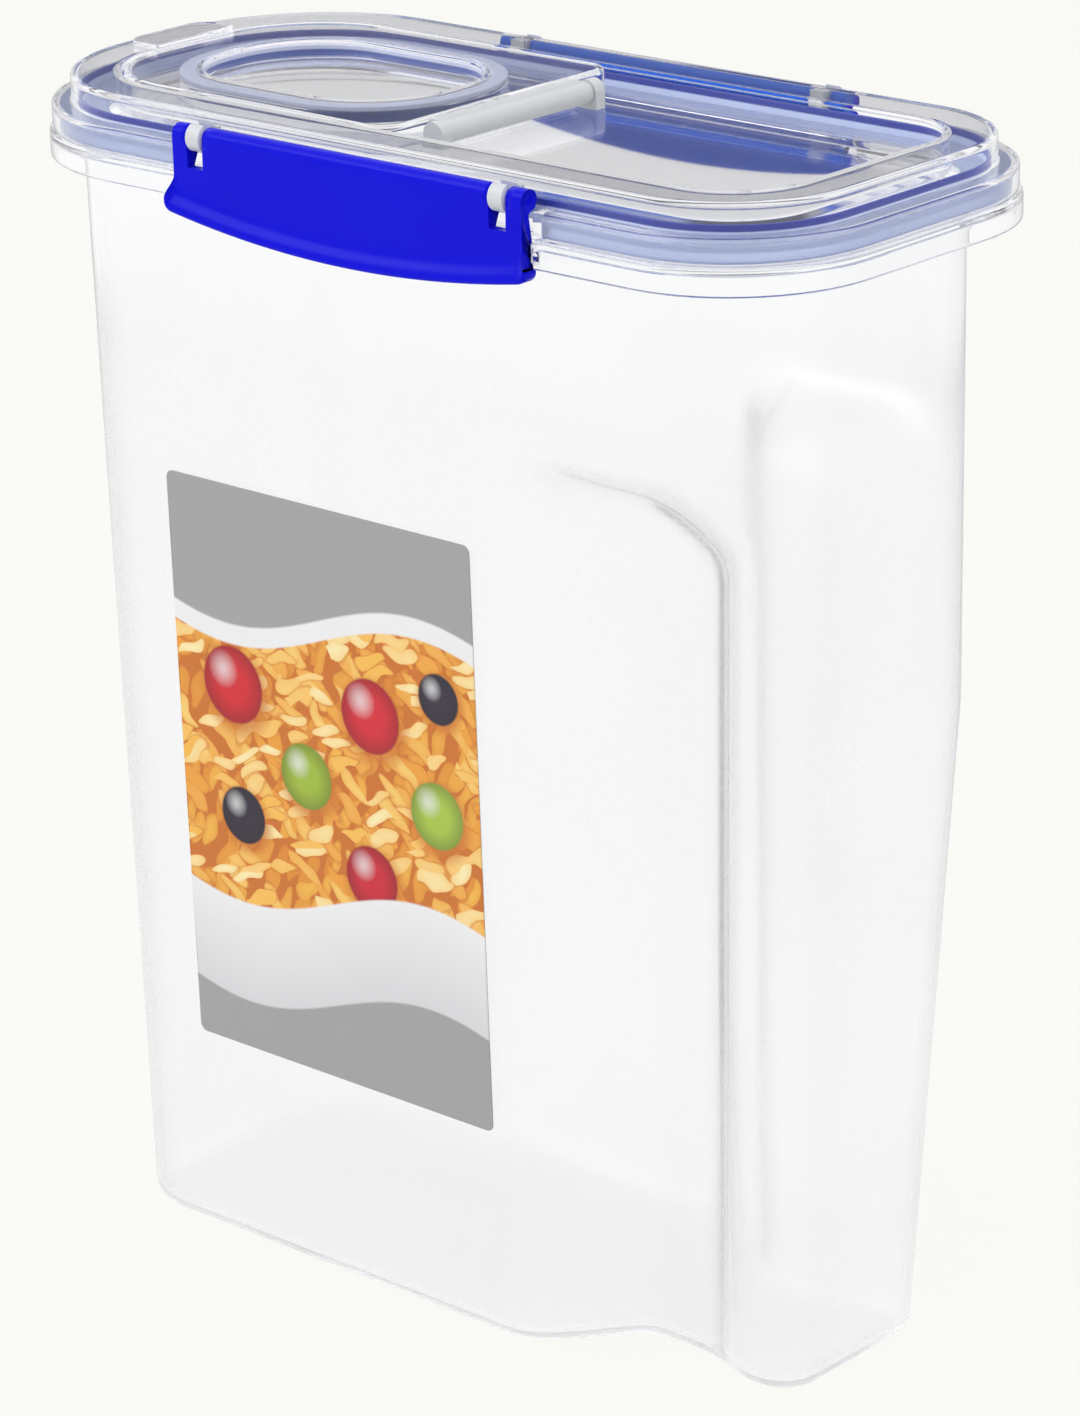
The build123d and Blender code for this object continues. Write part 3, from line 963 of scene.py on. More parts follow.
@dataclass
class Piece:
    """One visible piece, from its mesh to its place in the frame."""

    name: str
    mesh: bpy.types.Mesh
    material: bpy.types.Material
    body: Body
    slot: Slot
    replaces: tuple[str, ...] = ()

    def place(self) -> bpy.types.Object:
        """Puts the piece in the scene and ties it to its body.

        Returns:
            The new object.
        """
        piece = bpy.data.objects.new(self.name, self.mesh)
        bpy.context.scene.collection.objects.link(piece)
        self.mesh.materials.append(self.material)
        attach(piece, self.body.value)
        if self.replaces:
            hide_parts(*self.replaces)
        LOG.info("%s: %d faces on %s", self.name, len(self.mesh.polygons), self.body.value)
        return piece


@dataclass
class Tub:
    """The clear tub: drafted walls, a narrow handle end, a grip recess on each side and the rim's collar.

    Each size with a `_lean` beside it holds at the rim, and has lost its lean at the underside. The crease's
    lean is of its own kind. What the name alone doesn't say:

    Args:
        base_edge: Radius of the edge round the underside.
        end: X of both ends.
        pour_radius: Corner radius at the pour end.
        handle_radius: Corner radius at the handle end.
        column: Half depth where the side turns into the handle end.
        column_x: X of that turn.
        column_gap: Least distance of `column` under the side.
        bend_ease: Half width of the bends of the side.
        taper_slope: Slope of the side before the turn.
        end_slope: Slope of the side past the turn.
        draft_stretch: Inset of the drafted side for each millimetre of wall.
        waist: Half depth between the recesses.
        ramp_slope: Slope of the recess's ramp at the pour side.
        ramp_foot: X where the ramp meets the waist.
        ramp_ease: Rounding between ramp and waist.
        crease_foot: X of the crease at the underside.
        crease_lean: How far the crease moves along for each millimetre up.
        crease_ease: Rounding of the crease on the outer wall.
        inner_ease: Rounding that the inner wall has over that.
        scoop_x: X under which the roof's rounding grows.
        scoop_reach: Length over which it grows.
        scoop_ease: Rounding that it grows by.
        roof_x: X from which the roof line falls.
        roof_top: Height of the roof line before that.
        roof_fall: Drop of the roof line at the reach.
        roof_reach: Length from `roof_x` at which that drop is measured.
        slant_x: How far the arch's outline moves along for each millimetre out.
        slant_z: How far it moves up for each millimetre out.
        corner_ease: Rounding between the roof and the face at the handle.
        edge_ease: Rounding of the recess's outer edge.
        side_stops: X of the stops between which the side's columns are spread.
        side_counts: Columns in each stretch between two stops, with both of its ends.
        dense_z: Heights between which the wall's rings are close.
        plain_top: Height of the last ring of the wide ones under them.
        plain_rise: Height of the first of these over the wall's foot.
        foot_rise: Height of the lowest ring over the wall's foot.
        ring_counts: Rings of the wide stretch, the close stretch and the stretch over it.
        outer_end: Distance from the rim's underside down to the last plain ring outside.
        inner_end: The same inside.
        inner_foot: Height over the floor from which the inside's heights count.
        collar_depth: Height of the rim's outer skirt.
        notch_insets: Insets in the clips' notches of the wall's top, the skirt's inside and its outside.
        lip_inset: Inset of the upright lip.
        pour_steps: Steps that the corner at the pour end has over `arc_steps`.
    """

    sizes: Sizes
    finish: bpy.types.Material
    wall: float = 1.6
    floor: float = 2.2
    base_edge: float = 4.0
    base_flat: float = 0.8
    end: float = 110.5
    pour_end_lean: float = 6.0
    handle_end_lean: float = 11.0
    pour_radius: float = 30.0
    pour_radius_lean: float = 8.0
    handle_radius: float = 28.0
    handle_radius_lean: float = 18.0
    column: float = 58.6
    column_lean: float = 33.2
    column_x: float = 84.0
    column_gap: float = 0.5
    bend_ease: float = 5.0
    taper_slope: float = 0.34
    end_slope: float = 0.25
    end_slope_lean: float = 0.2
    draft_stretch: float = 1.03
    waist: float = 20.5
    ramp_slope: float = 1.3
    ramp_foot: float = 53.0
    ramp_ease: float = 6.0
    crease_foot: float = 76.4
    crease_lean: float = 0.02
    crease_ease: float = 2.0
    inner_ease: float = 6.0
    scoop_x: float = 60.0
    scoop_reach: float = 15.0
    scoop_ease: float = 24.0
    roof_x: float = 55.0
    roof_top: float = 208.4
    roof_fall: float = 9.2
    roof_reach: float = 24.0
    slant_x: float = 0.87
    slant_z: float = 0.46
    corner_ease: float = 4.0
    edge_ease: float = 9.0
    side_stops: tuple[float, ...] = (84.0, 75.0, 54.0, 20.0)
    side_counts: tuple[int, ...] = (7, 26, 11, 35, 36)
    dense_z: tuple[float, float] = (172.0, 230.0)
    plain_top: float = 168.0
    plain_rise: float = 6.0
    foot_rise: float = 0.8
    ring_counts: tuple[int, int, int] = (24, 46, 8)
    outer_end: float = 2.5
    inner_end: float = 7.0
    inner_foot: float = 2.4
    collar_depth: float = 6.0
    notch_insets: tuple[float, float, float] = (4.0, 3.2, 2.5)
    lip_inset: float = 10.5
    arc_steps: int = 15
    pour_steps: int = 3
    end_steps: int = 6
    name: str = "tub_shell"

    def lean(self, z: float) -> float:
        """Share of the walls' lean that is left at a height."""
        return 1.0 - z / self.sizes.rim_top

    def side(self, z: float) -> float:
        """Half depth of the side wall at a height, before its first bend."""
        return self.sizes.wall_half_depth - self.sizes.wall_lean * self.lean(z)

    def side_line(self, x: Array, z: float, inset: float) -> Array:
        """Half depth of the side wall at each X, without the grip recess.

        The side, less m1 times the X past a first bend, plus (m1 - m2) times the X past a second bend. Past a
        bend means the eased ramp of `past`. The first slope brings the wall in, the second runs to the end.

        Args:
            x: Columns along the side.
            z: Height.
            inset: Distance into the wall.

        Returns:
            The half depth at each column.
        """
        lean, side = self.lean(z), self.side(z)
        column = min(self.column - self.column_lean * lean, side - self.column_gap)
        first_x = self.column_x - (side - column) / self.taper_slope
        last_slope = self.end_slope - self.end_slope_lean * lean
        line = side - self.taper_slope * self.past(x, first_x, self.bend_ease)
        line += (self.taper_slope - last_slope) * self.past(x, self.column_x, self.bend_ease)
        return line - inset * self.draft_stretch

    @staticmethod
    def past(x: Array, start: float, width: float) -> Array:
        """How far each X lies past a start, eased by a parabola within a width on both sides of it."""
        gap = x - start
        return np.where(np.abs(gap) < width, (gap + width) ** 2 / (4 * width), np.maximum(gap, 0.0))

    def carved(self, x: Array, line: Array, z: float, inset: float) -> Array:
        """The side line with the grip recess taken out.

        The depth falls along a straight ramp to the waist and stays there up to the arch's outline, from
        which the two faces of `outward` bring it back to the side.

        Args:
            x: Columns along the side.
            line: Half depth of the side without the recess.
            z: Height.
            inset: Distance into the wall.

        Returns:
            The half depth at each column.
        """
        flat = np.full_like(x, self.waist - inset)
        ramp = flat - inset * (np.hypot(1, self.ramp_slope) - 1) + self.ramp_slope * (self.ramp_foot - x)
        floor = soft_max(flat, ramp, self.ramp_ease)
        ease = self.crease_ease + self.inner_ease * inset / self.wall
        ease = ease + self.scoop_ease * smooth_step((self.scoop_x - x) / self.scoop_reach)
        deep = soft_max(floor, flat + self.outward(x, z), ease)
        return np.minimum(line, soft_min(line, deep, self.edge_ease))

    def outward(self, x: Array, z: float) -> Array:
        """How far out of the waist the recess's roof and its face at the handle stand at each column.

        Both are the arch's outline drawn outwards on a slant: for each millimetre out it moves `slant_x`
        along and `slant_z` up. The outline is the crease, x = c, and the roof line, level up to roof_x and
        z = top - k (x - roof_x)^2 past it. So the face stands out by t = (x - c) / slant_x, and the roof
        by the lesser root t of z - slant_z t = top - k (x - roof_x - slant_x t)^2.

        Args:
            x: Columns along the side.
            z: Height.

        Returns:
            The distance out of the waist, below zero inside the outline.
        """
        crease = self.crease_foot + self.crease_lean * min(z, self.roof_top)
        face = (x - crease) / self.slant_x
        rise = z - self.roof_top
        k = self.roof_fall / self.roof_reach**2
        past = np.maximum(x - self.roof_x, self.slant_x * rise / self.slant_z)
        half = 2 * k * self.slant_x * past + self.slant_z
        square = half**2 - 4 * k * self.slant_x**2 * (k * past**2 + rise)
        roof = (half - np.sqrt(np.maximum(square, 0.0))) / (2 * k * self.slant_x**2)
        return soft_max(face, roof, self.corner_ease)

    def plan(self, z: float, inset: float, carve: bool = True) -> Array:
        """The wall's outline at a height as half a ring.

        Two straight ends and two corners as in a rounded rectangle, joined by the side line with its recess.

        Args:
            z: Height of the outline.
            inset: Distance into the wall.
            carve: False leaves the grip recess out.

        Returns:
            Points of shape (columns, 2) from the middle of the handle end to the middle of the pour end.
        """
        lean = self.lean(z)
        left = -self.end + self.pour_end_lean * lean + inset
        right = self.end - self.handle_end_lean * lean - inset
        side = self.side(z) - inset * self.draft_stretch
        pour_radius = self.pour_radius - self.pour_radius_lean * lean - inset
        corner = self.handle_radius - self.handle_radius_lean * lean - inset
        slope = self.end_slope - self.end_slope_lean * lean
        centre_x = right - corner
        centre_y = float(self.side_line(np.array([centre_x]), z, inset)[0]) - corner * np.hypot(1, slope)
        ends = np.linspace(0.0, 1.0, self.end_steps, endpoint=False)
        turn = np.linspace(0.0, np.pi / 2 - np.arctan(slope), self.arc_steps + 1)
        first = np.c_[np.full_like(ends, right), ends * centre_y]
        handle = np.c_[centre_x + corner * np.cos(turn), centre_y + corner * np.sin(turn)]
        stops = (handle[-1, 0], *self.side_stops, left + pour_radius)
        spans = [np.linspace(*span)[1:] for span in zip(stops, stops[1:], self.side_counts)]
        x = np.concatenate(spans)[:-1]
        near = np.concatenate([handle, np.c_[x, self.side_line(x, z, inset)]])
        if carve:
            near[:, 1] = np.minimum(near[:, 1], self.carved(near[:, 0], near[:, 1], z, inset))
        turn = np.linspace(0.0, np.pi / 2, self.arc_steps + self.pour_steps + 1)
        pour = np.c_[left + pour_radius * (1 - np.sin(turn)), side - pour_radius * (1 - np.cos(turn))]
        last = np.c_[np.full_like(ends, left), (1 - ends - 1 / self.end_steps) * (side - pour_radius)]
        return np.concatenate([first, near, pour, last])

    def ring(self, z: float, inset: float, lift: float | None = None) -> Array:
        """A whole ring of the wall, with its height given apart where the edge is rounded."""
        return at_height(mirror_ring(self.plan(z, inset)), z if lift is None else lift)

    def rim_plan(self, inset: float, notch_inset: float) -> Array:
        """A ring of the rim with a column for each column of the wall.

        Each column of the wall goes to the same share of the same straight or corner of the rim's outline.

        Args:
            inset: Distance in from the rim's outline.
            notch_inset: The same in the clips' notches.

        Returns:
            Points of shape (columns, 2).
        """
        size = self.sizes
        wall = self.plan(size.rim_top, 0.0, carve=False)[:, 0]
        handle = self.end_steps + self.arc_steps
        pour = len(wall) - self.end_steps - self.arc_steps - self.pour_steps - 1
        low = -size.rim_half_length + size.rim_pour_radius
        high = size.rim_half_length - size.rim_handle_radius
        side_x = high + (wall[handle + 1 : pour] - wall[handle]) * (low - high) / (wall[pour] - wall[handle])
        for end in (-1, 1):
            edge = size.clip_x + end * size.notch_half
            near = np.argsort(np.abs(side_x - edge))[:2]
            side_x[near.min()], side_x[near.max()] = edge + size.pair_half, edge - size.pair_half
        steps = {"arc_steps": self.arc_steps, "end_steps": self.end_steps, "pour_steps": self.pour_steps}
        points, normals = size.rim(tuple(side_x.tolist()), **steps).half()
        depth = np.where(size.in_notch(points, 0.0), notch_inset, inset)
        return mirror_ring(points - normals * depth[:, None])

    def rim_row(self, inset: float, z: float, notch: tuple[float, float] | None = None) -> Array:
        """A rim ring at a height, with its own inset and height in the clips' notches."""
        notch_inset, notch_z = notch or (inset, z)
        plan = self.rim_plan(inset, notch_inset)
        inside = self.sizes.in_notch(self.rim_plan(0.0, 0.0), 0.0)
        return at_height(plan, np.where(inside, notch_z, z))

    def edge_rows(self, bottom: float, inset: float, radius: float, steps: int = 6) -> list[Array]:
        """Rings of the rounded edge between a flat bottom and the wall.

        A quarter circle: at angle a the inset grows by r (1 - cos a) and the height is r (1 - sin a).

        Args:
            bottom: Height of the flat.
            inset: Inset of the wall above the edge.
            radius: Radius of the edge.
            steps: Steps in the quarter circle.

        Returns:
            The rings from the flat up to the wall.
        """
        rows = [self.ring(bottom, inset + radius + self.base_flat, bottom)]
        for angle in np.linspace(np.pi / 2, 0.0, steps + 1):
            grow = radius * (1 - np.cos(angle))
            rows.append(self.ring(bottom + radius * (1 - np.sin(angle)), inset + grow))
        return rows

    def heights(self, low: float, high: float) -> Array:
        """Heights of the wall's rings: wide apart on the straight wall and close round the recess's roof."""
        first, last = self.dense_z
        wide, close, upper = self.ring_counts
        return np.concatenate(
            [
                [low + self.foot_rise],
                np.linspace(low + self.plain_rise, self.plain_top, wide),
                np.linspace(first, last, close)[:-1],
                np.linspace(last, high, upper),
            ]
        )

    def rim_corners(self) -> list[Corner]:
        """Section of the rim, from the wall's outside over the collar and the lip to the wall's inside.

        Returns:
            The rings with the reach of their softening.
        """
        size, thick = self.sizes, self.wall
        under, skirt = size.rim_top - thick, size.rim_top - self.collar_depth
        top_inset, inner_inset, outer_inset = self.notch_insets
        lip_back = self.lip_inset + thick
        return [
            (self.ring(under - self.outer_end, 0.0), 0.0),
            (self.ring(under, 0.0), 1.2),
            (self.rim_row(thick, under, (top_inset, under)), 0.8),
            (self.rim_row(thick, skirt, (inner_inset, under)), 0.5),
            (self.rim_row(0.0, skirt, (outer_inset, under)), 0.5),
            (self.rim_row(0.0, size.rim_top, (outer_inset, size.rim_top)), 0.9),
            (self.rim_row(self.lip_inset, size.rim_top), 0.7),
            (self.rim_row(self.lip_inset, size.lip_top), 0.6),
            (self.rim_row(lip_back, size.lip_top), 0.6),
            (self.rim_row(lip_back, under + 0.4), 1.0),
            (self.ring(under - 1.0, thick), 1.0),
            (self.ring(under - 5.0, thick), 0.0),
        ]

    def build(self) -> Piece:
        """Builds the tub as one closed shell, up the outside, over the rim and down inside.

        Returns:
            The piece.
        """
        under = self.sizes.rim_top - self.wall
        outer = self.edge_rows(0.0, 0.0, self.base_edge)
        outer += [self.ring(z, 0.0) for z in self.heights(self.base_edge, under - self.outer_end)[:-1]]
        rim = rounded_rows(self.rim_corners(), closed=False)
        inside = self.heights(self.floor + self.inner_foot, under - self.inner_end)[::-1]
        inner = [self.ring(z, self.wall) for z in inside]
        inner += self.edge_rows(self.floor, self.wall, self.base_edge - self.wall)[::-1]
        rows = np.concatenate([np.stack(outer), rim, np.stack(inner)])
        mesh = Shell(rows, caps=(Cap.LADDER, Cap.LADDER)).mesh(self.name)
        return Piece(self.name, mesh, self.finish, Body.TUB, Slot.TUB, ("tub",))


@dataclass
class Lid:
    """The clear lid: band, raised land, sunk panel, pour opening, hooks for the clips and ears for the flap.

    Insets count from the rim's outline. A ring with less than `edge_inset` takes the clips' notches without
    the wall's margin, and the band's shoulder is lower there by `notch_drop`. The hook's slot, half and arm
    are its slot's half width, half of its length along the bar and the far side of its arm from the bar, and
    `arm_top` is a share of its radius over the bar. The ear's span is that of its faces off the middle plane.
    """

    sizes: Sizes
    finish: bpy.types.Material
    seal_finish: bpy.types.Material
    bead_finish: bpy.types.Material
    frosted: bpy.types.Material
    band_inset: float = 0.8
    notch_drop: float = 1.2
    edge_inset: float = 1.5
    corner_steps: int = 4
    hook_radius: float = 3.35
    hook_bore: float = 1.65
    hook_slot: float = 1.2
    hook_half: float = 2.0
    arm_reach: float = 4.3
    arm_top: float = 0.6
    ear_radius: float = 3.0
    ear_span: tuple[float, float] = (24.3, 27.3)
    ear_sink: float = 0.2
    bead_insets: tuple[float, float] = (7.0, 7.8)
    bead_heights: tuple[float, float] = (279.2, 282.5)

    def swept(self, inset: float, z: float, notch: tuple[float, float] | None = None) -> Array:
        """A ring of the lid: the rim's outline moved in along its own normals.

        Args:
            inset: Distance in from the outline.
            z: Height of the ring.
            notch: Inset and height in the clips' notches.

        Returns:
            Points of shape (columns, 3).
        """
        plan, normals = self.sizes.rim().ring()
        notch_inset, notch_z = notch or (inset, z)
        margin = 0.0 if inset < self.edge_inset else self.sizes.lid_wall
        inside = self.sizes.in_notch(plan, margin)
        depth = np.where(inside, notch_inset, inset)
        return at_height(plan - normals * depth[:, None], np.where(inside, notch_z, z))

    def mouth(self, inset: float, z: float) -> Array:
        """A ring round the pour opening with a column for each column of the lid."""
        return mouth_ring(self.sizes, self.swept(self.sizes.recess_inset, 0.0), inset, z)

    def shell(self) -> Piece:
        """The lid itself, one closed shell that wraps round its own section.

        Returns:
            The piece.
        """
        size = self.sizes
        wall, step, recess, band = size.lid_wall, size.step_inset, size.recess_inset, self.band_inset
        top, under = size.lid_top, size.land_underside
        low, high = size.band_bottom, size.band_top
        corners = [
            (self.swept(recess, size.panel_top), 1.0),
            (self.swept(recess, top), 0.7),
            (self.swept(step, top), 1.3),
            (self.swept(step, high), 0.5),
            (self.swept(band, high, (step, high - self.notch_drop)), 0.7),
            (self.swept(band, low, (step, low)), 0.35),
            (self.swept(band + wall, low, (step + wall, low)), 0.35),
            (self.swept(band + wall, high - wall, (step + wall, high - wall - self.notch_drop)), 0.4),
            (self.swept(step + wall, high - wall), 0.4),
            (self.swept(step + wall, under), 0.6),
            (self.swept(recess - wall, under), 0.6),
            (self.swept(recess - wall, size.panel_underside), 0.7),
            (self.mouth(0.0, size.panel_underside), 0.4),
            (self.mouth(0.0, size.mouth_collar_top), 0.35),
            (self.mouth(-size.mouth_collar, size.mouth_collar_top), 0.35),
            (self.mouth(-size.mouth_collar, size.panel_top), 0.5),
        ]
        mesh = Shell(rounded_rows(corners, closed=True, steps=self.corner_steps), wrap=True).mesh("lid_shell")
        return Piece("lid_shell", mesh, self.finish, Body.LID, Slot.LID, ("lid",))

    def hook_section(self) -> Array:
        """Section of a clip hook in depth and height: an arm and a ring round the bar, open at the top.

        The ring's two edges are circles, outer and hole, each from one side of the slot round to the other.

        Returns:
            Points of shape (count, 2), each the distance from the bar and the height over it.
        """
        outer, inner = self.hook_radius, self.hook_bore
        top = np.pi / 2
        hole_side, rim_side = np.arcsin(self.hook_slot / inner), np.arcsin(self.hook_slot / outer)
        hole = np.linspace(top + hole_side, top - hole_side + 2 * np.pi, 25)
        right = np.linspace(top - rim_side, -top, 13)
        left = np.linspace(np.pi, top + rim_side, 7)
        arm_z = outer * self.arm_top
        arm = np.array([[-self.arm_reach, -outer], [-self.arm_reach, arm_z], [-outer, arm_z]])
        return np.concatenate(
            [
                np.c_[np.cos(right), np.sin(right)] * outer,
                arm,
                np.c_[np.cos(left), np.sin(left)] * outer,
                np.c_[np.cos(hole), np.sin(hole)] * inner,
            ]
        )

    def hooks(self) -> list[Piece]:
        """The four hooks that hold the clips' bars."""
        size = self.sizes
        pieces = []
        section = self.hook_section()
        for side in Side:
            for end in (-1, 1):
                middle = size.clip_x + end * size.lug_half_spacing
                rows = []
                for x in (-self.hook_half, self.hook_half):
                    y = side.value * (size.bar_y + section[:, 0])
                    rows.append(np.c_[np.full(len(section), middle + x), y, size.bar_z + section[:, 1]])
                name = f"clip_hook_{side.name.lower()}_{'pour' if end < 0 else 'handle'}"
                pieces.append(Piece(name, prism(name, rows), self.frosted, Body.LID, Slot.LID))
        return pieces

    def ears(self) -> list[Piece]:
        """The two ears that hold the flap's trunnions: a round head on a straight foot."""
        size, radius = self.sizes, self.ear_radius
        pieces = []
        turn = np.linspace(0.0, np.pi, 15)
        head = np.c_[np.cos(turn), np.sin(turn)] * radius
        foot_z = size.panel_top - self.ear_sink - size.hinge_z
        section = np.concatenate([head, np.array([[-radius, foot_z], [radius, foot_z]])])
        for side in Side:
            rows = []
            for y in self.ear_span:
                x = size.hinge_x + section[:, 0]
                rows.append(np.c_[x, np.full(len(section), side.value * y), size.hinge_z + section[:, 1]])
            name = f"flap_ear_{side.name.lower()}"
            pieces.append(Piece(name, prism(name, rows), self.frosted, Body.LID, Slot.LID))
        return pieces

    def bead(self) -> Piece:
        """The seal's deep blue rib, which stands in the channel just inside the lid's raised wall."""
        (outer, inner), (foot, top) = self.bead_insets, self.bead_heights
        section = ((outer, foot), (outer, top), (inner, top), (inner, foot))
        rows = rounded_rows([(self.swept(inset, z), 0.2) for inset, z in section], closed=True, steps=2)
        mesh = Shell(rows, wrap=True).mesh("lid_seal_rib")
        return Piece("lid_seal_rib", mesh, self.bead_finish, Body.LID, Slot.SEAL)

    def seal(self) -> Piece:
        """The soft ring in the lid's channel, narrower where the clips' notches are.

        Its section has a flat web under the lid and a lip that hangs outside the tub's own.
        """
        outer, lip, inner = 2.5, 4.5, 14.0
        foot, web, top = 275.1, 277.4, 279.3
        notch_outer, notch_inner, notch_lip = 7.2, 8.2, 7.6
        corners = [
            (self.swept(outer, foot, (notch_outer, web + 0.1)), 0.6),
            (self.swept(outer, top, (notch_outer, top)), 0.4),
            (self.swept(inner, top), 0.4),
            (self.swept(inner, web), 0.4),
            (self.swept(lip, web, (notch_inner, web)), 0.3),
            (self.swept(lip, foot, (notch_lip, web)), 0.6),
        ]
        mesh = Shell(rounded_rows(corners, closed=True, steps=3), wrap=True).mesh("lid_seal_ring")
        return Piece("lid_seal_ring", mesh, self.seal_finish, Body.LID, Slot.SEAL, ("lid_seal",))

    def build(self) -> list[Piece]:
        """All the lid's pieces."""
        return [self.shell(), self.seal(), self.bead(), *self.hooks(), *self.ears()]


def mouth_ring(sizes: Sizes, around: Array, inset: float, z: float) -> Array:
    """A ring in the form of the pour opening, along the rays from its middle to the points of another ring.

    Args:
        sizes: The shared sizes.
        around: The ring that gives the rays.
        inset: Distance in from the pour opening's outline.
        z: Height of the ring.

    Returns:
        Points of shape (columns, 3).
    """
    middle = np.array([sizes.mouth_x, 0.0])
    plan = around[:, :2] - middle
    angle = np.arctan2(plan[:, 1], plan[:, 0])
    length, depth = sizes.mouth_half_length - inset, sizes.mouth_half_depth - inset
    return at_height(ray_to_outline(angle, length, depth, sizes.mouth_radius - inset) + middle, z)


def prism(name: str, rows: Sequence[Array]) -> bpy.types.Mesh:
    """A closed prism between two copies of one section, flat shaded, with whole faces at its ends.

    Args:
        name: Name of the mesh.
        rows: The two end sections, each of shape (count, 3).

    Returns:
        The mesh.
    """
    count = len(rows[0])
    after = [(k + 1) % count for k in range(count)]
    faces: list[tuple[int, ...]] = [(k, after[k], count + after[k], count + k) for k in range(count)]
    faces += [tuple(range(count))[::-1], tuple(range(count, 2 * count))]
    mesh = write_mesh(name, np.vstack(rows), faces)
    mesh.polygons.foreach_set("use_smooth", np.zeros(len(mesh.polygons), dtype=bool))
    return mesh


def rod(name: str, start: Array, finish: Array, radius: float, steps: int = 28) -> bpy.types.Mesh:
    """A round rod between two points with softened ends.

    The section is a circle in the plane square to the axis: radius times (cos a, sin a) on two unit vectors.

    Args:
        name: Name of the mesh.
        start: First end.
        finish: Second end.
        radius: Radius.
        steps: Columns round the rod.

    Returns:
        The mesh.
    """
    axis = unit(finish - start)
    first = unit(np.cross(axis, np.array([0.31, 0.27, 0.91])))
    second = np.cross(axis, first)
    turn = np.linspace(0.0, 2 * np.pi, steps, endpoint=False)[:, None]
    circle = (np.cos(turn) * first + np.sin(turn) * second) * radius
    flat = circle * 0.6
    corners = [(start + flat, 0.0), (start + circle, 0.3), (finish + circle, 0.3), (finish + flat, 0.0)]
    return Shell(rounded_rows(corners, closed=False, steps=3)).mesh(name)


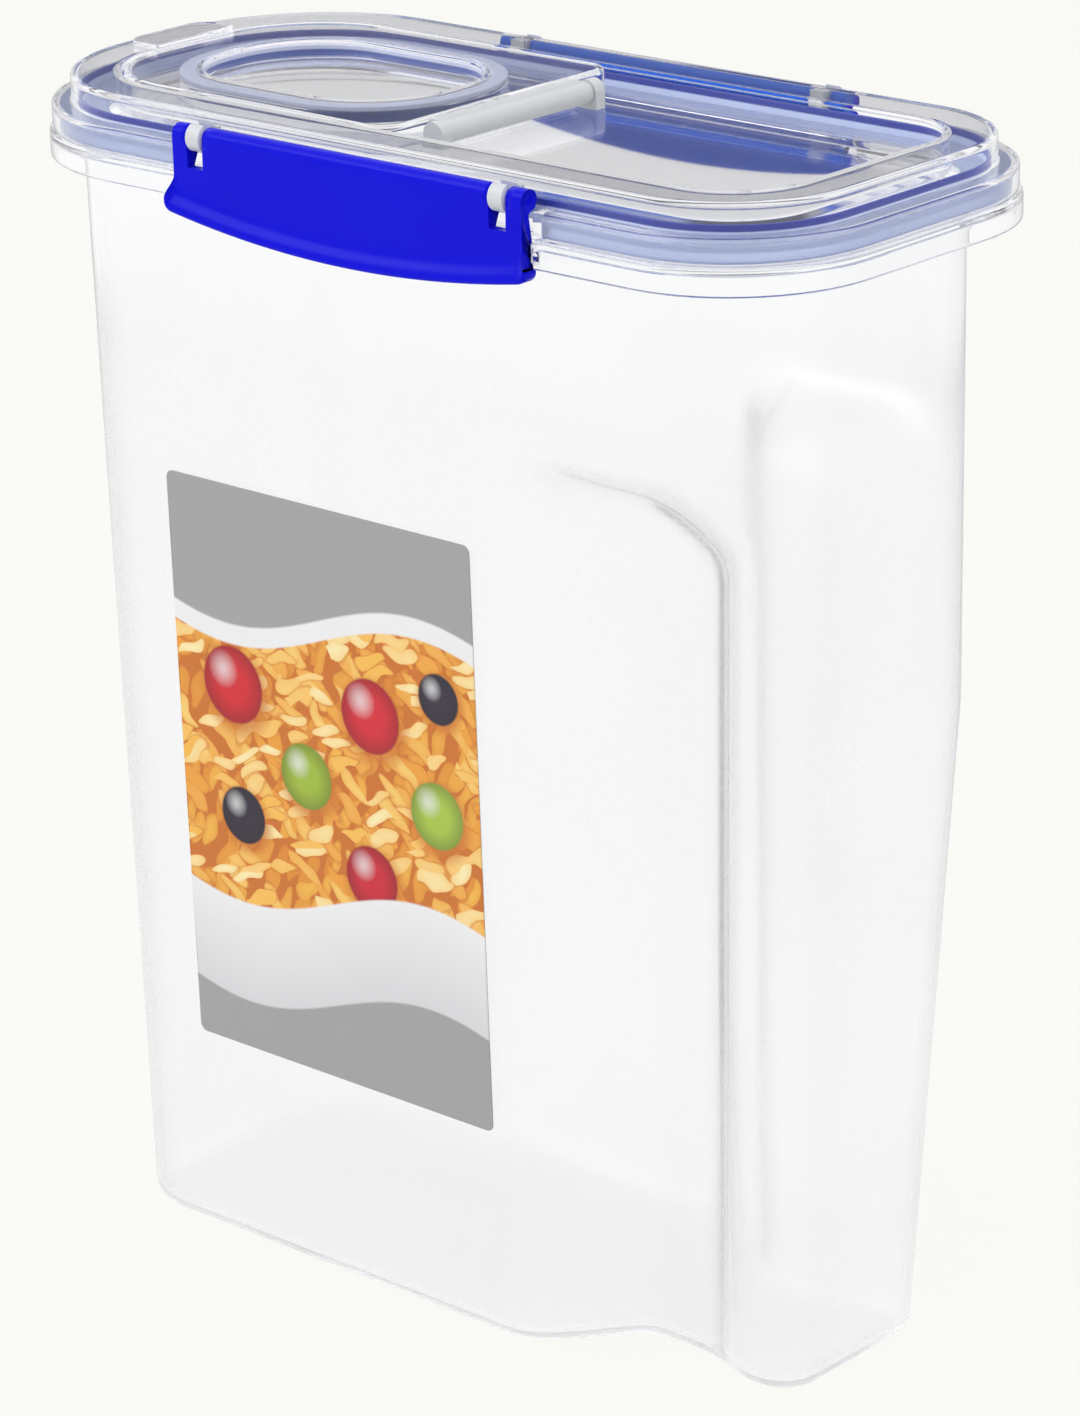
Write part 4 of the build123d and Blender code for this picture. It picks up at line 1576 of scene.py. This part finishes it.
@dataclass
class Flap:
    """The clear pour flap: shell, sunk window, hinge barrel, thumb tab and the soft ring under it.

    The gap is the one to the land round it, and `dish_depth` is that of the window's underside under the
    land's. The other `dish` sizes are insets from the pour opening: of the window's outer wall, of its inner
    wall and of the ring round its middle. The tab's heights count from the lid's top, and its reach, root and
    neck from the flap's end.
    """

    sizes: Sizes
    finish: bpy.types.Material
    seal_finish: bpy.types.Material
    frosted: bpy.types.Material
    gap: float = 0.6
    wall: float = 1.4
    hinge_end: float = -1.4
    hinge_corner: float = 6.0
    side_end: float = -80.0
    side_step: float = 2.5
    dish_depth: float = 3.5
    dish_outer: float = 2.6
    dish_inner: float = 4.0
    dish_middle: float = 25.0
    barrel_radius: float = 2.6
    barrel_half: float = 24.0
    trunnion_radius: float = 1.5
    trunnion_half: float = 27.2
    web_reach: float = 4.3
    tab_reach: float = 9.0
    tab_root: float = 2.1
    tab_half: float = 13.0
    tab_corner: float = 5.0
    tab_neck: float = 0.7
    tab_heights: tuple[float, float] = (0.3, 1.5)
    tab_sink: float = 1.3
    tab_edge: float = 0.9

    def outline(self) -> Outline:
        """The flap's outline, the land's opening less the gap, with its own end by the hinge."""
        size = self.sizes
        inset = size.recess_inset + self.gap
        return Outline(
            -size.rim_half_length + inset,
            self.hinge_end,
            size.rim_half_depth - inset,
            size.rim_pour_radius - inset,
            self.hinge_corner,
            tuple(np.arange(0.0, self.side_end, -self.side_step).tolist()),
            arc_steps=16,
            end_steps=14,
        )

    def ring(self, inset: float, z: float) -> Array:
        """A ring of the flap moved in along its own normals."""
        plan, normals = self.outline().ring()
        return at_height(plan - normals * inset, z)

    def dish(self, inset: float, z: float) -> Array:
        """A ring of the sunk window with a column for each column of the flap."""
        return mouth_ring(self.sizes, self.outline().ring()[0], inset, z)

    def shell(self) -> Piece:
        """The flap's body from the middle of the window's underside round the skirt to the window's top."""
        size = self.sizes
        under, top, low = size.land_underside, size.lid_top, size.panel_top + self.gap
        dish_bottom = under - self.dish_depth
        dish_top = dish_bottom + self.wall
        corners = [
            (self.dish(self.dish_middle, dish_bottom), 0.0),
            (self.dish(self.dish_outer, dish_bottom), 0.7),
            (self.dish(self.dish_outer, under), 0.5),
            (self.ring(self.wall, under), 0.5),
            (self.ring(self.wall, low), 0.4),
            (self.ring(0.0, low), 0.4),
            (self.ring(0.0, top), 1.3),
            (self.dish(self.dish_inner, top), 0.7),
            (self.dish(self.dish_inner, dish_top), 0.8),
            (self.dish(self.dish_middle, dish_top), 0.0),
        ]
        mesh = Shell(rounded_rows(corners, closed=False)).mesh("flap_shell")
        return Piece("flap_shell", mesh, self.finish, Body.FLAP, Slot.LID, ("flap",))

    def hinge(self) -> list[Piece]:
        """The hinge barrel with its web to the flap, and the trunnions at its ends."""
        x, z, half = self.sizes.hinge_x, self.sizes.hinge_z, self.barrel_half
        centre = np.array([x, 0.0, z])
        barrel_end = np.array([0.0, half, 0.0])
        pin_end = np.array([0.0, self.trunnion_half, 0.0])
        barrel = rod("flap_barrel", centre - barrel_end, centre + barrel_end, self.barrel_radius)
        pin = rod("flap_trunnions", centre - pin_end, centre + pin_end, self.trunnion_radius)
        back, top = x - self.web_reach, z + self.barrel_radius
        web = [np.array([[back, y, z], [back, y, top], [x, y, top], [x, y, z]]) for y in (-half, half)]
        meshes = {"flap_barrel": barrel, "flap_trunnions": pin, "flap_web": prism("flap_web", web)}
        return [Piece(name, mesh, self.frosted, Body.FLAP, Slot.LID) for name, mesh in meshes.items()]

    def tab(self) -> Piece:
        """The thumb tab at the pour end: a rounded plate over the land on a short neck."""
        size = self.sizes
        end = -size.rim_half_length + size.recess_inset + self.gap
        root = end + self.tab_root
        plate = Outline(end - self.tab_reach, root, self.tab_half, self.tab_corner, 1.0, (), 8, 3)
        neck = Outline(end + self.tab_neck, root, self.tab_half, 0.5, 0.5, (), 8, 3).ring()[0]
        plan, normals = plate.ring()
        low, high = (size.lid_top + rise for rise in self.tab_heights)
        corners = [
            (at_height(neck, size.lid_top - self.tab_sink), 0.0),
            (at_height(neck, low), 0.3),
            (at_height(plan, low), 0.4),
            (at_height(plan, high), 0.5),
            (at_height(plan - normals * self.tab_edge, high), 0.0),
        ]
        mesh = Shell(rounded_rows(corners, closed=False), caps=(Cap.LADDER, Cap.LADDER)).mesh("flap_tab")
        return Piece("flap_tab", mesh, self.finish, Body.FLAP, Slot.LID)

    def seal(self) -> Piece:
        """The soft ring that plugs the pour opening: a plug in the opening under a shoulder on its collar."""
        size = self.sizes
        outline = Outline(
            size.mouth_x - size.mouth_half_length,
            size.mouth_x + size.mouth_half_length,
            size.mouth_half_depth,
            size.mouth_radius,
            size.mouth_radius,
            tuple(np.arange(size.mouth_x + 12.0, size.mouth_x - 13.0, -3.0).tolist()),
            arc_steps=24,
            end_steps=2,
        )
        plan, normals = outline.ring()
        plug, inner, shoulder = 0.3, 2.3, -1.6
        foot, step, top = 281.6, 284.6, 285.8
        section = [
            (plug, foot, 0.5),
            (inner, foot, 0.5),
            (inner, top, 0.3),
            (shoulder, top, 0.3),
            (shoulder, step, 0.3),
            (plug, step, 0.3),
        ]
        corners = [(at_height(plan - normals * inset, z), reach) for inset, z, reach in section]
        mesh = Shell(rounded_rows(corners, closed=True, steps=3), wrap=True).mesh("flap_seal_ring")
        return Piece("flap_seal_ring", mesh, self.seal_finish, Body.FLAP, Slot.SEAL, ("flap_seal",))

    def build(self) -> list[Piece]:
        """All the flap's pieces."""
        return [self.shell(), *self.hinge(), self.tab(), self.seal()]


@dataclass
class Clip:
    """A blue side clip: bowed plate with a flared lower lip, a barrel notched for the hooks, and its bar.

    The drop runs from the bar to the lower edge at the clip's ends, and the bow is how much lower the edge is
    in the middle. The flare is the share of its length by which the plate widens over the first
    `flare_reach` under the rim's top. A plain column within `column_clear` of a pair is left out.
    """

    sizes: Sizes
    finish: bpy.types.Material
    side: Side
    half: float = 53.0
    thickness: float = 2.4
    drop: float = 17.0
    bow: float = 5.0
    flare: float = 0.045
    flare_reach: float = 9.0
    corner: float = 2.5
    barrel: float = 2.6
    bar: float = 1.6
    bar_end: float = 1.0
    lip: float = 2.0
    lip_height: float = 4.6
    catch_half: float = 45.0
    catch_depth: float = 2.6
    notch_half: float = 2.5
    notch_floor: float = 276.2
    column_step: float = 2.2
    column_clear: float = 0.5
    pair_half: float = 0.06

    @property
    def body(self) -> Body:
        """The clip's own body."""
        return Body.FRONT_CLIP if self.side is Side.FRONT else Body.REAR_CLIP

    def low_edge(self, x: float) -> float:
        """Height of the lower edge: a parabola bowed down in the middle, a quarter circle at each end."""
        past = np.clip((abs(x) - (self.half - self.corner)) / self.corner, 0.0, 1.0)
        curve = self.sizes.bar_z - self.drop - self.bow * (1 - (x / self.half) ** 2)
        return float(curve + self.corner * (1 - np.sqrt(np.maximum(1 - past**2, 0.0))))

    def section(self, x: float, low: float) -> Array:
        """Closed section at one column, as distance from the middle plane and height.

        It runs from the lower lip up the face, over the barrel by its circle, down the heel and the plate's
        back with the catch, and under the lip. In a hook's notch all above the notch's floor is pressed
        down to it.

        Args:
            x: Column, from the clip's middle.
            low: Height of the lower edge there.

        Returns:
            Points of shape (count, 2).
        """
        size = self.sizes
        out, back = size.bar_y + self.barrel, size.bar_y + self.barrel - self.thickness
        share = np.linspace(0.0, 1.0, 9)
        outer_lip = np.c_[out + self.lip * (1 - smooth_step(share)), low + 0.7 + self.lip_height * share]
        face = np.c_[np.full(8, out), np.linspace(low + self.lip_height + 2.0, size.bar_z - 0.6, 8)]
        turn = np.linspace(0.0, np.radians(184.0), 16)
        head = np.c_[size.bar_y + self.barrel * np.cos(turn), size.bar_z + self.barrel * np.sin(turn)]
        heel = [
            [size.bar_y - 1.9, size.bar_z - 1.77],
            [back - 0.35, size.bar_z - 2.6],
            [back, size.bar_z - 3.1],
        ]
        inside = [[back, 276.0], [back, 272.8]]
        depth = self.catch_depth if abs(x) <= self.catch_half else 0.0
        steps = np.array([min(depth, 2.4), depth, depth, min(depth, 2.2), 0.0])
        catch = np.c_[back - steps, [272.6, 272.4, 271.8, 271.4, 269.6]]
        under_back = [[back, low + 0.5], [back + 0.15, low + 0.15], [back + 0.5, low]]
        under_lip = [[out + 1.4, low], [out + 1.85, low + 0.2]]
        points = np.concatenate([outer_lip, face, head, heel, inside, catch, under_back, under_lip])
        if abs(abs(x) - size.lug_half_spacing) < self.notch_half:
            first = len(outer_lip)
            top = first + len(face)
            last = top + len(head) + len(heel)
            floor = self.notch_floor
            held = floor - 0.01 * np.arange(top - first)[::-1]
            points[first:top, 1] = np.minimum(points[first:top, 1], held)
            across = np.linspace(0.02, 0.98, last - top)
            points[top:last] = np.c_[out - across * self.thickness, np.full(len(across), floor)]
            points[last] = [back, floor - 0.2]
        return points

    def columns(self) -> Array:
        """X of the columns: close at the rounded ends and in pairs at the sides of notches and catch."""
        spacing = self.sizes.lug_half_spacing
        ends = self.half - self.corner * (1 - np.sin(np.linspace(0.0, np.pi / 2, 8)))
        plain = np.arange(0.0, self.half - self.corner, self.column_step)
        edges = (spacing - self.notch_half, spacing + self.notch_half, self.catch_half)
        pairs = [edge + offset for edge in edges for offset in (-self.pair_half, self.pair_half)]
        kept = plain[np.min(np.abs(plain[:, None] - pairs), axis=1) > self.column_clear]
        half = np.unique(np.concatenate([kept, pairs, ends]))
        return np.concatenate([-half[:0:-1], half])

    def plate(self) -> Piece:
        """The clip's moulding as sections along X, closed at both ends."""
        rows = []
        for x in self.columns():
            section = self.section(x, self.low_edge(x))
            lower = smooth_step((self.sizes.rim_top - section[:, 1]) / self.flare_reach)
            wide = self.sizes.clip_x + x * (1 + self.flare * lower)
            rows.append(np.c_[wide, self.side.value * section[:, 0], section[:, 1]])
        stack = np.stack(rows)
        count, around = stack.shape[:2]
        faces = [tuple(face) for face in Shell(stack).quads().tolist()]
        faces += [tuple(range(around)), tuple(range((count - 1) * around, count * around))[::-1]]
        name = f"{self.side.name.lower()}_clip_plate"
        mesh = write_mesh(name, stack.reshape(-1, 3), faces)
        return Piece(name, mesh, self.finish, self.body, Slot.CLIP, (self.body.value,))

    def hinge_bar(self) -> Piece:
        """The bar that shows in the notches and turns in the lid's hooks."""
        size = self.sizes
        middle = np.array([size.clip_x, self.side.value * size.bar_y, size.bar_z])
        reach = np.array([self.half - self.bar_end, 0.0, 0.0])
        name = f"{self.side.name.lower()}_clip_bar"
        mesh = rod(name, middle - reach, middle + reach, self.bar)
        return Piece(name, mesh, self.finish, self.body, Slot.CLIP)

    def build(self) -> list[Piece]:
        """The clip's pieces."""
        return [self.plate(), self.hinge_bar()]


@dataclass
class Label:
    """The printed card on the front wall, a thin plate that leans with the draft.

    The gap is the one to the wall. The edges' sizes are those of their rounding, and `flat_inset` is the
    inset of the rings round the flat faces. `print_end` is how far down the UV map the back's part lies.
    """

    sizes: Sizes
    finish: bpy.types.Material
    middle_x: float = -22.5
    middle_z: float = 125.5
    half_width: float = 48.5
    half_height: float = 72.0
    thickness: float = 0.3
    gap: float = 0.05
    corner: float = 2.0
    side_x: float = 44.0
    flat_inset: float = 0.4
    back_edge: float = 0.05
    front_edge: float = 0.08
    print_end: float = 300.0

    def build(self) -> Piece:
        """Builds the card from its outline, with a UV map in millimetres from its middle.

        A point of the card is its middle plus X across, the wall's slant upwards and the lift outwards.
        The back's part of the map lies `print_end` lower, below the print, so the back is plain card.

        Returns:
            The piece.
        """
        size = self.sizes
        across = np.array([1.0, 0.0, 0.0])
        up = unit(np.array([0.0, -size.wall_lean, size.rim_top]))
        out = np.cross(across, up)
        foot = size.wall_half_depth - size.wall_lean
        base_y = -foot - size.wall_lean * self.middle_z / size.rim_top
        base = np.array([self.middle_x, base_y, self.middle_z])
        outline = Outline(
            -self.half_width,
            self.half_width,
            self.half_height,
            self.corner,
            self.corner,
            tuple(np.linspace(self.side_x, -self.side_x, 9).tolist()),
            arc_steps=5,
            end_steps=4,
        )
        plan, normals = outline.ring()
        front = self.gap + self.thickness
        section = (
            (self.flat_inset, self.gap),
            (0.0, self.gap + self.back_edge),
            (0.0, front - self.front_edge),
            (self.front_edge, front),
            (self.flat_inset, front),
        )
        rows = []
        for inset, lift in section:
            flat = plan - normals * inset
            rows.append(base + flat[:, :1] * across + flat[:, 1:] * up + out * lift)
        mesh = Shell(np.stack(rows), caps=(Cap.LADDER, Cap.LADDER)).mesh("printed_label")
        layer = mesh.uv_layers.new(name="card")
        points = np.empty(len(mesh.vertices) * 3)
        mesh.vertices.foreach_get("co", points)
        local = points.reshape(-1, 3) / MM - base
        loops = np.empty(len(mesh.loops), dtype=int)
        mesh.loops.foreach_get("vertex_index", loops)
        height = local[loops] @ up
        behind = local[loops] @ out < self.gap + self.thickness / 2
        height = np.where(behind, height - self.print_end, height)
        layer.uv.foreach_set("vector", np.c_[local[loops, 0], height].ravel())
        return Piece("printed_label", mesh, self.finish, Body.TUB, Slot.LABEL, ("label",))


# Studio


@dataclass(frozen=True)
class SkyZone:
    """A round zone of the sky with a colour of its own.

    Args:
        towards: Vector to the zone's middle, about 1 long.
        edge: Product of that vector and the ray's at the zone's edge.
        full: Product from which the zone is full.
        colour: The zone's colour.
    """

    towards: Vector3
    edge: float
    full: float
    colour: Colour

    def share(self, nodes: Nodes, where: Socket) -> Socket:
        """Share of the zone in a direction: the product of the two vectors, mapped to 0 to 1.

        Args:
            nodes: Node helper of the world.
            where: Direction of the ray.

        Returns:
            The share as a socket.
        """
        product = nodes.add("ShaderNodeVectorMath", operation="DOT_PRODUCT")
        nodes.join(where, product.inputs[0])
        product.inputs[1].default_value = self.towards
        return nodes.ramp(product.outputs["Value"], self.edge, self.full, 0.0, 1.0)


@dataclass(frozen=True)
class Lamp:
    """A square soft lamp with its place, size and aim in metres and its power in watts."""

    name: str
    place: Vector3
    power: float
    size: float = 1.2
    aim: Vector3 = (0.0, 0.0, 0.14)

    def build(self) -> None:
        """Puts the lamp in the scene."""
        data = bpy.data.lights.new(self.name, "AREA")
        data.shape, data.size, data.energy = "SQUARE", self.size, self.power
        lamp = bpy.data.objects.new(self.name, data)
        lamp.location = self.place
        lamp.rotation_euler = (Vector(self.aim) - Vector(self.place)).to_track_quat("-Z", "Y").to_euler()
        bpy.context.scene.collection.objects.link(lamp)


@dataclass
class Studio:
    """Pale floor, even sky, two soft lamps and the camera at the photograph's angle.

    The focal length is in pixels of an image `image_height` high, the camera's place and sensor are in
    millimetres and its angles in degrees. The floor's sizes are in metres, and it lies `floor_drop` under the
    keeper. Between the two Y values of `far_floor`, mirrors turn from the floor's white to `far_colour`. The
    room is what glass shows on the camera's side, and the dim zone is what the keeper's flats show behind it.
    """

    focal_px: float = 5047.85
    place: Vector3 = (761.07, -823.54, 546.93)
    yaw: float = 42.576
    pitch: float = 19.935
    roll: float = -1.681
    image_height: float = 1416.0
    sensor: float = 36.0
    white: Colour = (0.973, 0.973, 0.935)
    sky_light: float = 0.85
    floor_half: float = 6.0
    floor_drop: float = 0.0002
    paper: Colour = (0.8, 0.8, 0.8)
    floor_glow: float = 0.9
    far_floor: tuple[float, float] = (0.15, 0.4)
    far_colour: Colour = (0.42, 0.42, 0.44)
    room: SkyZone = SkyZone((0.62, -0.74, 0.1), 0.1, 0.8, (0.62, 0.62, 0.64))
    dim: SkyZone = SkyZone((-0.65, 0.724, 0.232), 0.975, 0.992, (0.14, 0.14, 0.15))
    lamps: tuple[Lamp, ...] = (
        Lamp("key_lamp", (-0.9, -1.1, 1.6), 10.0),
        Lamp("fill_lamp", (1.4, 0.3, 1.2), 4.0),
    )
    bounces: int = 32
    glossy_bounces: int = 12

    def camera(self) -> None:
        """Adds the camera. Its axes come from yaw, pitch and roll.

        Forward is (-sin y cos p, cos y cos p, -sin p), right is (cos y, sin y, 0), and up is square to both.
        """
        yaw, pitch, roll = np.radians([self.yaw, self.pitch, self.roll])
        forward = np.array([-np.sin(yaw) * np.cos(pitch), np.cos(yaw) * np.cos(pitch), -np.sin(pitch)])
        right = np.array([np.cos(yaw), np.sin(yaw), 0.0])
        up = np.cross(right, forward)
        right, up = right * np.cos(roll) + up * np.sin(roll), -right * np.sin(roll) + up * np.cos(roll)
        data = bpy.data.cameras.new("camera")
        data.sensor_fit = "AUTO"
        data.sensor_width = self.sensor
        data.lens = self.focal_px * self.sensor / self.image_height
        data.clip_start, data.clip_end = 0.01, 50.0
        camera = bpy.data.objects.new("camera", data)
        axes = np.column_stack([right, up, -forward])
        turn = Matrix(axes.tolist()).to_4x4()
        camera.matrix_world = Matrix.Translation(Vector(self.place) * MM) @ turn
        bpy.context.scene.collection.objects.link(camera)
        bpy.context.scene.camera = camera

    def floor(self) -> None:
        """A wide pale floor that keeps a soft shadow and shows as white to the camera."""
        half, z = self.floor_half, -self.floor_drop
        mesh = bpy.data.meshes.new("floor")
        corners = [(-half, -half, z), (half, -half, z), (half, half, z), (-half, half, z)]
        mesh.from_pydata(corners, [], [(0, 1, 2, 3)])
        floor = bpy.data.objects.new("floor", mesh)
        bpy.context.scene.collection.objects.link(floor)
        material, nodes = new_material("floor_paper")
        paper = nodes.add("ShaderNodeBsdfDiffuse", Color=(*self.paper, 1.0))
        glow = nodes.add("ShaderNodeEmission", Strength=1.0)
        path = nodes.add("ShaderNodeLightPath")
        along = nodes.parts(nodes.add("ShaderNodeNewGeometry").outputs["Position"])[1]
        plain = nodes.maths("SUBTRACT", 1.0, path.outputs["Is Transmission Ray"])
        mirror = nodes.maths("MULTIPLY", path.outputs["Is Glossy Ray"], plain)
        beyond = nodes.maths("MULTIPLY", mirror, nodes.ramp(along, *self.far_floor, 0.0, 1.0))
        seen = nodes.blend(path.outputs["Is Camera Ray"], (1.0, 1.0, 1.0), self.white)
        nodes.join(nodes.blend(beyond, seen, self.far_colour), glow.inputs["Color"])
        share = nodes.maths("MULTIPLY", self.seen(nodes), self.floor_glow)
        nodes.finish(nodes.mix(share, paper.outputs[0], glow.outputs[0]))
        mesh.materials.append(material)

    def seen(self, nodes: Nodes) -> Socket:
        """1 for camera, mirror and glass rays, 0 for the rays that light the object."""
        path = nodes.add("ShaderNodeLightPath")
        first = nodes.maths("MAXIMUM", path.outputs["Is Camera Ray"], path.outputs["Is Glossy Ray"])
        return nodes.maths("MAXIMUM", first, path.outputs["Is Transmission Ray"])

    def sky(self) -> None:
        """An even sky: white where it is seen, apart from its two zones, and a plain level as light.

        Through glass a pale grey room stands on the camera's side, which draws soft grey edges. Mirrors and
        glass that show what is behind the keeper see a dim room, so that the lid's flats stay clear to look
        through.
        """
        world = bpy.data.worlds.new("sky")
        bpy.context.scene.world = world
        world.use_nodes = True
        nodes = Nodes(world.node_tree)
        light = nodes.add("ShaderNodeBackground", Color=(1.0, 1.0, 1.0, 1.0), Strength=self.sky_light)
        shown = nodes.add("ShaderNodeBackground", Strength=1.0)
        path = nodes.add("ShaderNodeLightPath")
        glass = path.outputs["Is Transmission Ray"]
        where = nodes.add("ShaderNodeTexCoord").outputs["Generated"]
        room = nodes.maths("MULTIPLY", glass, self.room.share(nodes, where))
        shiny = nodes.maths("MAXIMUM", path.outputs["Is Glossy Ray"], glass)
        dim = nodes.maths("MULTIPLY", shiny, self.dim.share(nodes, where))
        colour = nodes.blend(path.outputs["Is Camera Ray"], (1.0, 1.0, 1.0), self.white)
        colour = nodes.blend(room, colour, self.room.colour)
        nodes.join(nodes.blend(dim, colour, self.dim.colour), shown.inputs["Color"])
        mixed = nodes.mix(self.seen(nodes), light.outputs[0], shown.outputs[0])
        nodes.finish(mixed, "ShaderNodeOutputWorld")

    def build(self) -> None:
        """Sets up the whole studio."""
        self.camera()
        self.floor()
        self.sky()
        for lamp in self.lamps:
            lamp.build()
        scene = bpy.context.scene
        scene.view_settings.view_transform = "Standard"
        scene.cycles.max_bounces = self.bounces
        scene.cycles.transmission_bounces = self.bounces
        scene.cycles.transparent_max_bounces = self.bounces
        scene.cycles.glossy_bounces = self.glossy_bounces


@dataclass(frozen=True)
class Finishes:
    """The keeper's finishes.

    The rib turns paler and the flap's seal deeper under a height, as the soft plastic does where it is thin
    or thick. The rear clip's side that faces the tub has painted light: a brighter blue that stands in for
    the light that side gets through the lid.
    """

    tub: ClearPlastic = ClearPlastic("clear_tub_plastic")
    lid: ClearPlastic = ClearPlastic("clear_lid_plastic", (0.99, 0.99, 1.0), (0.97, 0.972, 0.985), ior=1.24)
    frosted: MouldedColour = MouldedColour(
        "frosted_plastic", (0.88, 0.9, 0.92), (0.92, 0.94, 0.96), (0.3, 0.4), transmission=0.3
    )
    seal: MouldedColour = MouldedColour(
        "soft_seal_blue", (0.63, 0.71, 0.97), (0.68, 0.76, 0.98), (0.3, 0.4), transmission=0.75
    )
    rib: MouldedColour = MouldedColour(
        "seal_rib_indigo",
        (0.03, 0.05, 0.34),
        (0.04, 0.06, 0.4),
        (0.3, 0.4),
        inner=(0.65, 0.73, 0.97),
        inner_limit=0.2809,
    )
    plug: MouldedColour = MouldedColour(
        "flap_seal_blue",
        (0.62, 0.66, 0.86),
        (0.68, 0.72, 0.9),
        (0.35, 0.5),
        inner=(0.11, 0.16, 0.45),
        inner_limit=0.2847,
    )
    front_clip: MouldedColour = MouldedColour(
        "clip_gloss_blue", (0.001, 0.001, 0.66), (0.002, 0.002, 0.74), (0.16, 0.24), specular=0.1
    )
    # Painted light: the rear clip's side that faces the tub is a brighter blue, standing in for the light it
    # gets through the lid.
    rear_clip: MouldedColour = replace(
        front_clip, name="clip_gloss_blue_lit", inner=(0.004, 0.12, 0.72), inner_axis=1, inner_limit=0.0553
    )
    card: PrintedCard = PrintedCard()


def main() -> None:
    """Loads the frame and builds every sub-assembly in order."""
    logging.basicConfig(level=logging.INFO, format="%(name)s: %(message)s")
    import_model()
    sizes, finishes = Sizes(), Finishes()
    lid_plastic, frosted = finishes.lid.make(), finishes.frosted.make()
    pieces: list[Piece] = [Tub(sizes, finishes.tub.make()).build()]
    pieces += Lid(sizes, lid_plastic, finishes.seal.make(), finishes.rib.make(), frosted).build()
    pieces += Flap(sizes, lid_plastic, finishes.plug.make(), frosted).build()
    pieces += Clip(sizes, finishes.front_clip.make(), Side.FRONT).build()
    pieces += Clip(sizes, finishes.rear_clip.make(), Side.REAR).build()
    pieces.append(Label(sizes, finishes.card.make()).build())
    for piece in pieces:
        piece.place()
    Studio().build()


if __name__ == "__main__":
    main()
